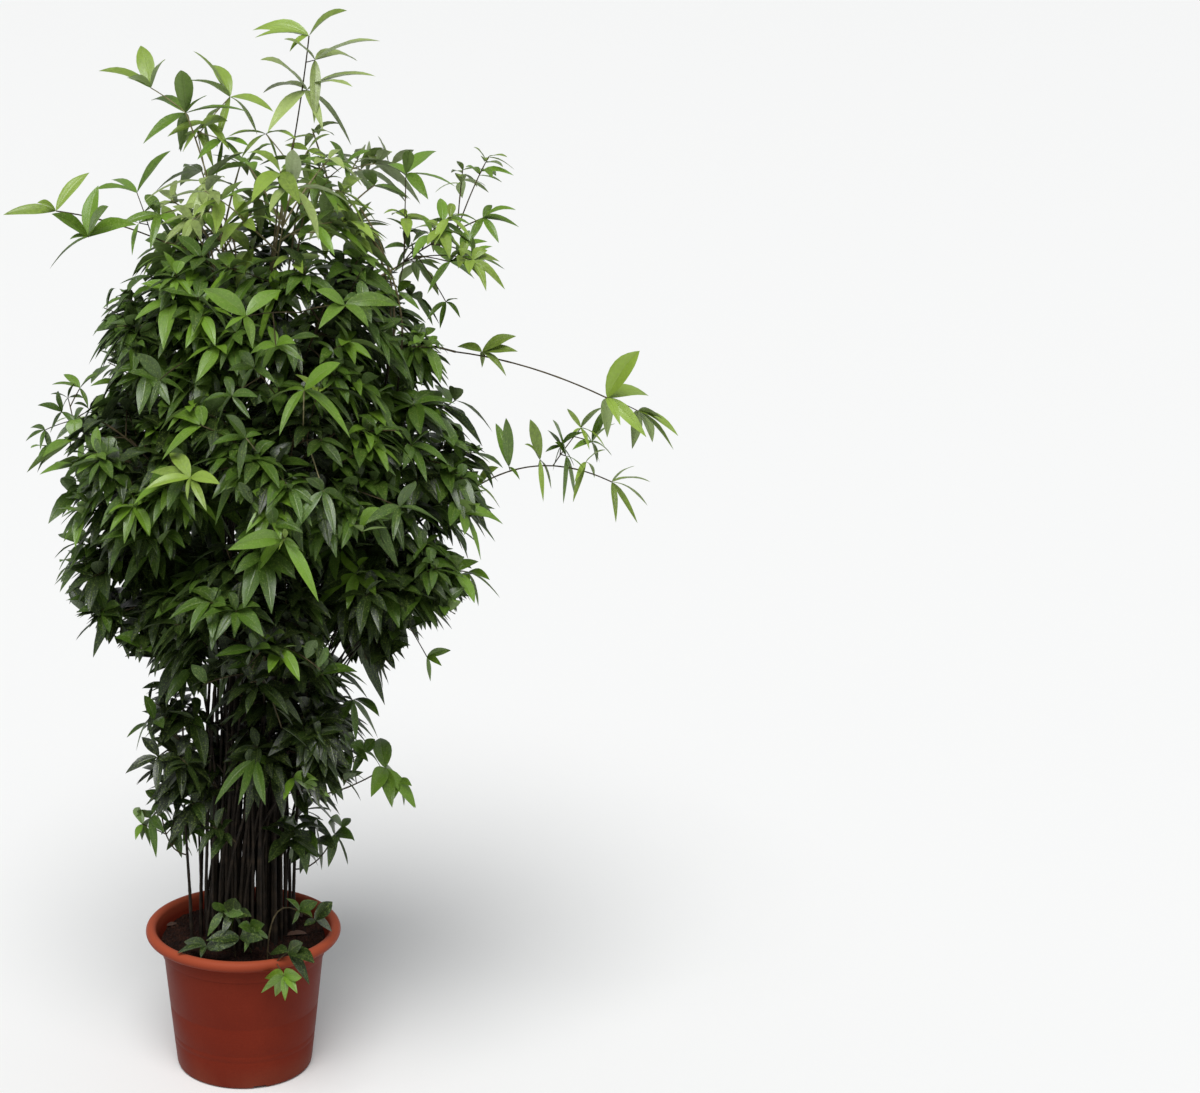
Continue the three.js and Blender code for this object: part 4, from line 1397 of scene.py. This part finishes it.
# A leaf that is seen to end at a pixel: how much longer than it looks it may be, by the longest in its
# whorl and by its own look, the least share that it points in depth, and how far its top faces front
show_longest = 1.05
show_lengthened = 1.5
show_least_depth = 0.15
spray_front = -0.45
usual_front = -0.8

# How well lit a whorl is: by its height, its depth in its mass and its place from the middle out, by
# its mass's kind, and more at the end of a twig
light_by_height = 0.72
light_by_depth = 0.44
light_by_spread = 0.18
light_lost = 0.24
light_of_kind = {"dense": 0.0, "loose": 0.32, "spray": 0.16, "sprig": 0.16}
light_of_tip = 0.08
lit_height = 1.5
lit_spread = 0.34

# How far a leaf may end past its mass's ball, and past two balls where they meet in a crease, and the
# shares of its length that are tried one after the other until it does
past_ball = 0.08
past_one = 0.34
past_both = 0.52
leaf_tries = (1.0, 0.75)

# The greens, which paint light and shade: from painted shade inside the crown to painted light at its top
# and outside, lighter too at its youngest tips: above, and below
greens = {
    "shade": (colour(20, 33, 9), colour(30, 43, 18)),
    "deep": (colour(32, 50, 15), colour(48, 64, 31)),
    "middle": (colour(59, 86, 23), colour(74, 98, 42)),
    "bright": (colour(91, 124, 32), colour(108, 133, 64)),
    "lime": (colour(122, 147, 54), colour(132, 153, 86)),
    "pale": (colour(144, 162, 92), colour(158, 170, 130)),
}
green_limits = (0.30, 0.54, 0.78, 0.98, 1.18)


def leaf_finish(name, tone, roughness, vein_tone):
    """Leaf skin: glossy, faintly veined along its own length, with a pale midrib, faint flecks, and a paler
    tint that differs from leaf to leaf and is partly a painted sheen.
    """
    finish = Finish(name, roughness, leaf_specular)
    blade = finish.node("ShaderNodeAttribute", attribute_name="blade")
    parts = finish.node("ShaderNodeSeparateXYZ")
    finish.join(blade.outputs["Vector"], parts.inputs["Vector"])
    uneven = finish.mottled(finish.object_place(), 170.0, 400.0)
    across = finish.reckon("ABSOLUTE", parts.outputs["X"], 0.0)
    rib = finish.ranged(across, 0.0, rib_width, 1.0, 0.0)
    forward = finish.scaled(parts.outputs["Y"], vein_count)
    slant = finish.reckon("ADD", forward, finish.scaled(across, -vein_slant))
    vein = finish.ranged(finish.reckon("SINE", finish.scaled(slant, 6.283), 0.0), 0.55, 1.0, 0.0, 1.0)
    darker = tuple(c * blotch_darkening for c in tone[:3]) + (1.0,)
    tint_sheen = tuple(min(1.0, c * tint_sheen_lightening) for c in tone[:3]) + (1.0,)
    mixed = finish.blend(uneven.outputs["Blotch"], darker, tone)
    # A random share of each leaf is painted paler, partly its own tone and partly a painted sheen
    mixed = finish.blend(parts.outputs["Z"], mixed, tint_sheen, tint_sheen_strength)
    mixed = finish.blend(vein, mixed, vein_tone, vein_strength)
    mixed = finish.blend(rib, mixed, vein_tone, rib_strength)
    fleck = finish.ranged(uneven.outputs["Grain"], *fleck_grain, 0.0, fleck_strength)
    mixed = finish.blend(fleck, mixed, vein_tone)
    finish.join(mixed, finish.shader.inputs["Base Color"])
    ridge = finish.reckon("SUBTRACT", finish.scaled(rib, -1.0), finish.scaled(vein, 0.25))
    finish.relief(ridge, 0.0004)
    return finish.material


class BladePattern:
    """How one blade is divided: rings of points across it, between its base and its tip."""

    def __init__(self, shares, columns):
        self.shares = shares
        self.columns = columns
        self.ring = 2 * len(columns) - 2
        self.size = 2 + len(shares) * self.ring

    def above(self, s, c):
        return 1 + s * self.ring + c

    def below(self, s, c):
        edge = c in (0, len(self.columns) - 1)
        return self.above(s, c) if edge else self.above(s, len(self.columns) - 1 + c)

    def faces(self):
        """The faces of one blade, above and below, which meet all along its outline."""
        last = len(self.shares) - 1
        upper, lower = [], []
        for c in range(len(self.columns) - 1):
            upper.append((0, self.above(0, c + 1), self.above(0, c)))
            lower.append((0, self.below(0, c), self.below(0, c + 1)))
            for s in range(last):
                around = ((s, c), (s, c + 1), (s + 1, c + 1), (s + 1, c))
                upper.append(tuple(self.above(*spot) for spot in around))
                lower.append(tuple(self.below(*spot) for spot in (around[0], *reversed(around[1:]))))
            upper.append((self.above(last, c), self.above(last, c + 1), self.size - 1))
            lower.append((self.below(last, c), self.size - 1, self.below(last, c + 1)))
        return upper, lower

    def outline(self):
        """Which points lie on the blade's outline."""
        on_it = np.zeros(self.size, bool)
        on_it[[0, self.size - 1]] = True
        for s in range(len(self.shares)):
            on_it[[self.above(s, 0), self.above(s, len(self.columns) - 1)]] = True
        return on_it

    def points(self, leaves):
        """All the points of many blades, and each one's place across, along and its leaf's tint."""
        root, direction, face = leaves[:, 0:3], leaves[:, 3:6], leaves[:, 6:9]
        length, width, sag, sway, fold, tint = (leaves[:, i] for i in range(9, 15))
        across = np.cross(direction, face)
        points = np.zeros((len(leaves), self.size, 3))
        marks = np.zeros((len(leaves), self.size, 3))
        marks[:, :, 2] = tint[:, None]

        def spine(share):
            bend = across * (sway * length * share ** 2)[:, None]
            bend[:, 2] -= sag * length * share ** 2
            return root + direction * (share * length)[:, None] + bend

        points[:, 0] = spine(0.0)
        points[:, -1] = spine(1.0)
        marks[:, -1, 1] = 1.0
        for s, share in enumerate(self.shares):
            middle = spine(share)
            half = breadth(share) * width * length / 2
            for c, u in enumerate(self.columns):
                lift = fold * abs(u) * half + leaf_cup * half * math.sin(math.pi * abs(u))
                wave = np.sin(ripple_along * share + ripple_across * u + ripple_shift * tint)
                ripple = leaf_ripple * half * abs(u) * wave
                place = middle + across * (u * half)[:, None] + face * (lift + ripple)[:, None]
                points[:, self.above(s, c)] = place
                points[:, self.below(s, c)] = place - face * (leaf_thickness if abs(u) < 1 else 0)
                marks[:, [self.above(s, c), self.below(s, c)], :2] = (u, share)
        return points, marks


def breadth(share):
    """How broad a blade is along its length: a long oval with a point at its tip."""
    turn = share ** (math.log(0.5) / math.log(leaf_widest))
    return math.sin(math.pi * turn) ** (base_fullness if share < leaf_widest else tip_fullness)


def leaf_mesh(name, batches):
    """One mesh of many blades, tops in the first material and undersides in the second."""
    points, marks, corners, sizes, looks, outlines, first = [], [], [], [], [], [], 0
    for pattern, leaves in batches:
        if not len(leaves):
            continue
        made, marked = pattern.points(np.array(leaves))
        points.append(made.reshape(-1, 3))
        marks.append(marked.reshape(-1, 3))
        outlines.append(np.tile(pattern.outline(), len(leaves)))
        offsets = first + np.arange(len(leaves))[:, None] * pattern.size
        for look, faces in enumerate(pattern.faces()):
            for face in faces:
                corners.append((offsets + np.array(face)).ravel())
                sizes.append(np.full(len(leaves), len(face)))
                looks.append(np.full(len(leaves), look))
        first += len(leaves) * pattern.size
    points, corners, sizes = np.concatenate(points), np.concatenate(corners), np.concatenate(sizes)
    data = bpy.data.meshes.new(name)
    data.vertices.add(len(points))
    data.vertices.foreach_set("co", points.ravel())
    data.loops.add(len(corners))
    data.loops.foreach_set("vertex_index", corners.astype(np.int32))
    data.polygons.add(len(sizes))
    data.polygons.foreach_set("loop_start", (np.cumsum(sizes) - sizes).astype(np.int32))
    data.polygons.foreach_set("material_index", np.concatenate(looks).astype(np.int32))
    data.update(calc_edges=True)
    blade = data.attributes.new("blade", "FLOAT_VECTOR", "POINT")
    blade.data.foreach_set("vector", np.concatenate(marks).ravel())
    data.shade_smooth()
    ends = np.zeros(len(data.edges) * 2, np.int32)
    data.edges.foreach_get("vertices", ends)
    outline = np.concatenate(outlines)[ends.reshape(-1, 2)]
    sharp = data.attributes.new("sharp_edge", "BOOLEAN", "EDGE")
    sharp.data.foreach_set("value", outline.all(axis=1))
    return data


small_blade = BladePattern((0.08, 0.22, 0.40, 0.58, 0.76, 0.91), (-1.0, 0.0, 1.0))
large_blade = BladePattern((0.05, 0.14, 0.26, 0.40, 0.54, 0.68, 0.81, 0.92), (-1.0, -0.5, 0.0, 0.5, 1.0))


def light_at(mass, place, last):
    """How well lit a whorl is, from 0 deep inside and low down to 1 and more at the top."""
    height = (place.z - pot_height) / lit_height
    depth = (place - mass.centre).length / mass.reach
    outer = min(1.0, (place - crown_axis).xy.length / lit_spread)
    light = light_by_height * height + light_by_depth * depth + light_by_spread * outer * outer - light_lost
    light += light_of_kind[mass.kind]
    return light + (light_of_tip if last else 0.0)


def leaf_face(direction, tangent, lean):
    """Which way a blade's top faces: up, and towards the end of its own twig."""
    face = up + tangent * leaf_forward + lean
    face -= direction * face.dot(direction)
    face = face.normalized() if face.length > 1e-3 else sideways(direction, 0, math.pi / 2)
    face.rotate(Quaternion(direction, leaf_random.normal(0, leaf_roll)))
    return face


def add_leaf(leaves, root, direction, face, length, width, sag):
    """Adds one blade, with a sway, a fold and a tint of its own."""
    sway = leaf_random.normal(0, leaf_sway)
    fold = leaf_random.uniform(*leaf_folds)
    tint = leaf_random.uniform(0, 1)
    leaves.append((*root, *direction, *face, length, width, sag, sway, fold, tint))


def within_crown(place):
    """Whether a place lies in a mass, in the crease where two of them meet, or low among the canes."""
    if place.z < low_to + low_over and (place - clump_axis).xy.length < low_reach:
        return True
    depths = sorted(m.power(place) / m.reach ** 2 for m in masses)
    return depths[0] < past_ball or depths[0] < past_one and depths[0] + depths[1] < past_both


def grow_whorl(whorl, sprays):
    """A whorl by the rule: leaves all round the twig, bent over by their weight."""
    mass, place = whorl.mass, whorl.place
    axis = (whorl.tangent + up * whorl_upright).normalized()
    outward = (place - crown_axis).xy.normalized().to_3d()
    length, width, droop, count = leaf_kinds[mass.kind]
    # Its green paints its light: painted shade deep inside and low down, painted light at the top and outside
    light = light_at(mass, place, whorl.last) + leaf_random.normal(0, light_uneven)
    green = list(greens)[int(np.searchsorted(green_limits, light))]
    count += int(leaf_random.integers(-1, 2))
    first = leaf_random.uniform(0, 2 * math.pi)
    length *= leaf_random.uniform(*whorl_lengths)
    for k in range(count):
        bearing = first + 2 * math.pi * (k + leaf_random.uniform(0, leaf_bearing)) / count
        direction = sideways(axis, bearing, leaf_angle * leaf_random.uniform(*leaf_angles))
        direction += outward * leaf_outward
        direction.z -= droop * leaf_random.uniform(*leaf_droops)
        direction.normalize()
        sag = leaf_random.uniform(*leaf_sags)
        long = length * leaf_random.uniform(*leaf_lengths)
        root = place - whorl.tangent * leaf_random.uniform(0, leaf_scatter)
        for shorter in leaf_tries:
            tip = root + (direction - up * sag) * long * shorter
            if within_crown(tip) and (whorl.main or not past_outline(tip, mass)):
                face = leaf_face(direction, axis, Vector())
                add_leaf(sprays[green], root, direction, face, long * shorter, width, sag)
                break


def show_whorl(whorl, sprays):
    """A whorl whose leaves end where they are seen to: the shorter one looks, the deeper it points."""
    flat = [seen_at(tip, whorl.depth) - whorl.place for tip in whorl.tips]
    longest = max(v.length for v in flat)
    for k, reach in enumerate(flat):
        true_length = min(show_longest * longest, show_lengthened * reach.length)
        least = show_least_depth * true_length
        depth = math.sqrt(max(true_length ** 2 - reach.length_squared, least ** 2))
        side = 1 if k % 3 == 1 else -1
        tip = seen_at(whorl.tips[k], max(whorl.depth + side * depth, nearest_leaf))
        sag = leaf_random.uniform(*show_sags)
        direction = tip - whorl.place
        direction += up * sag * direction.length
        length = direction.length
        sag *= (tip - whorl.place).length / length
        direction.normalize()
        front = spray_front if whorl.mass.kind == "spray" else usual_front
        face = leaf_face(direction, whorl.tangent, Vector((0, front, 0)))
        width = show_width.get(whorl.mass.name, usual_width) * leaf_random.uniform(*show_widths)
        add_leaf(sprays[whorl.green], whorl.place, direction, face, length, width, sag)


small_sprays = {name: [] for name in greens}
large_sprays = {name: [] for name in greens}
for whorl in whorls:
    if whorl.tips:
        show_whorl(whorl, large_sprays)
    else:
        grow_whorl(whorl, small_sprays)
for name, (above, below) in greens.items():
    top_skin = leaf_finish("leaf_" + name, above, leaf_roughness[0], leaf_vein_tones[0])
    under_skin = leaf_finish("underside_" + name, below, leaf_roughness[1], leaf_vein_tones[1])
    small, large = small_sprays[name], large_sprays[name]
    parts = 1 + len(small) // most_in_a_piece
    for part in range(parts):
        batches = ((small_blade, small[part::parts]), (large_blade, large[part::parts]))
        label = f"leaves_{name}_{part + 1}"
        piece = put_mesh(label, leaf_mesh(label, batches), top_skin, under_skin)
        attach(piece, "root")

# The fallen leaves
# A few leaves have dropped on the soil and dried to a curled brown.
fallen_lift = 0.004
fallen_rise = 0.15
fallen_width = 0.42
fallen_sag = 0.1
fallen_lean = Vector((0.2, -0.3, 0))
dry_vein = colour(104, 74, 52)

# Each one's pixel, its bearing in degrees and its length
fallen = (
    ((296, 935), 200, 0.042),
    ((172, 925), 30, 0.022),
    ((300, 915), 290, 0.030),
)


def soil_seen_at(pixel):
    """The place on the soil that the camera sees at a pixel."""
    slope = camera_tilt + math.atan((pixel[1] - centre_pixel.y) / focal_pixels)
    place = seen_at(pixel, camera_place.y + (camera_place.z - soil_top) / math.tan(slope))
    place.z = soil_height(place.x, place.y) + fallen_lift
    return place


dry_leaves = []
for pixel, degrees, length in fallen:
    bearing = math.radians(degrees)
    direction = Vector((math.cos(bearing), math.sin(bearing), fallen_rise)).normalized()
    face = leaf_face(direction, up, fallen_lean)
    root = soil_seen_at(pixel) - direction * length / 2
    add_leaf(dry_leaves, root, direction, face, length, fallen_width, fallen_sag)
dry_skin = leaf_finish("dry_leaf", colour(66, 42, 29), 0.7, dry_vein)
dry_under = leaf_finish("dry_leaf_under", colour(76, 54, 38), 0.75, dry_vein)
dry_mesh = leaf_mesh("fallen_leaves", ((large_blade, dry_leaves),))
dry_piece = put_mesh("fallen_leaves", dry_mesh, dry_skin, dry_under)
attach(dry_piece, "root")
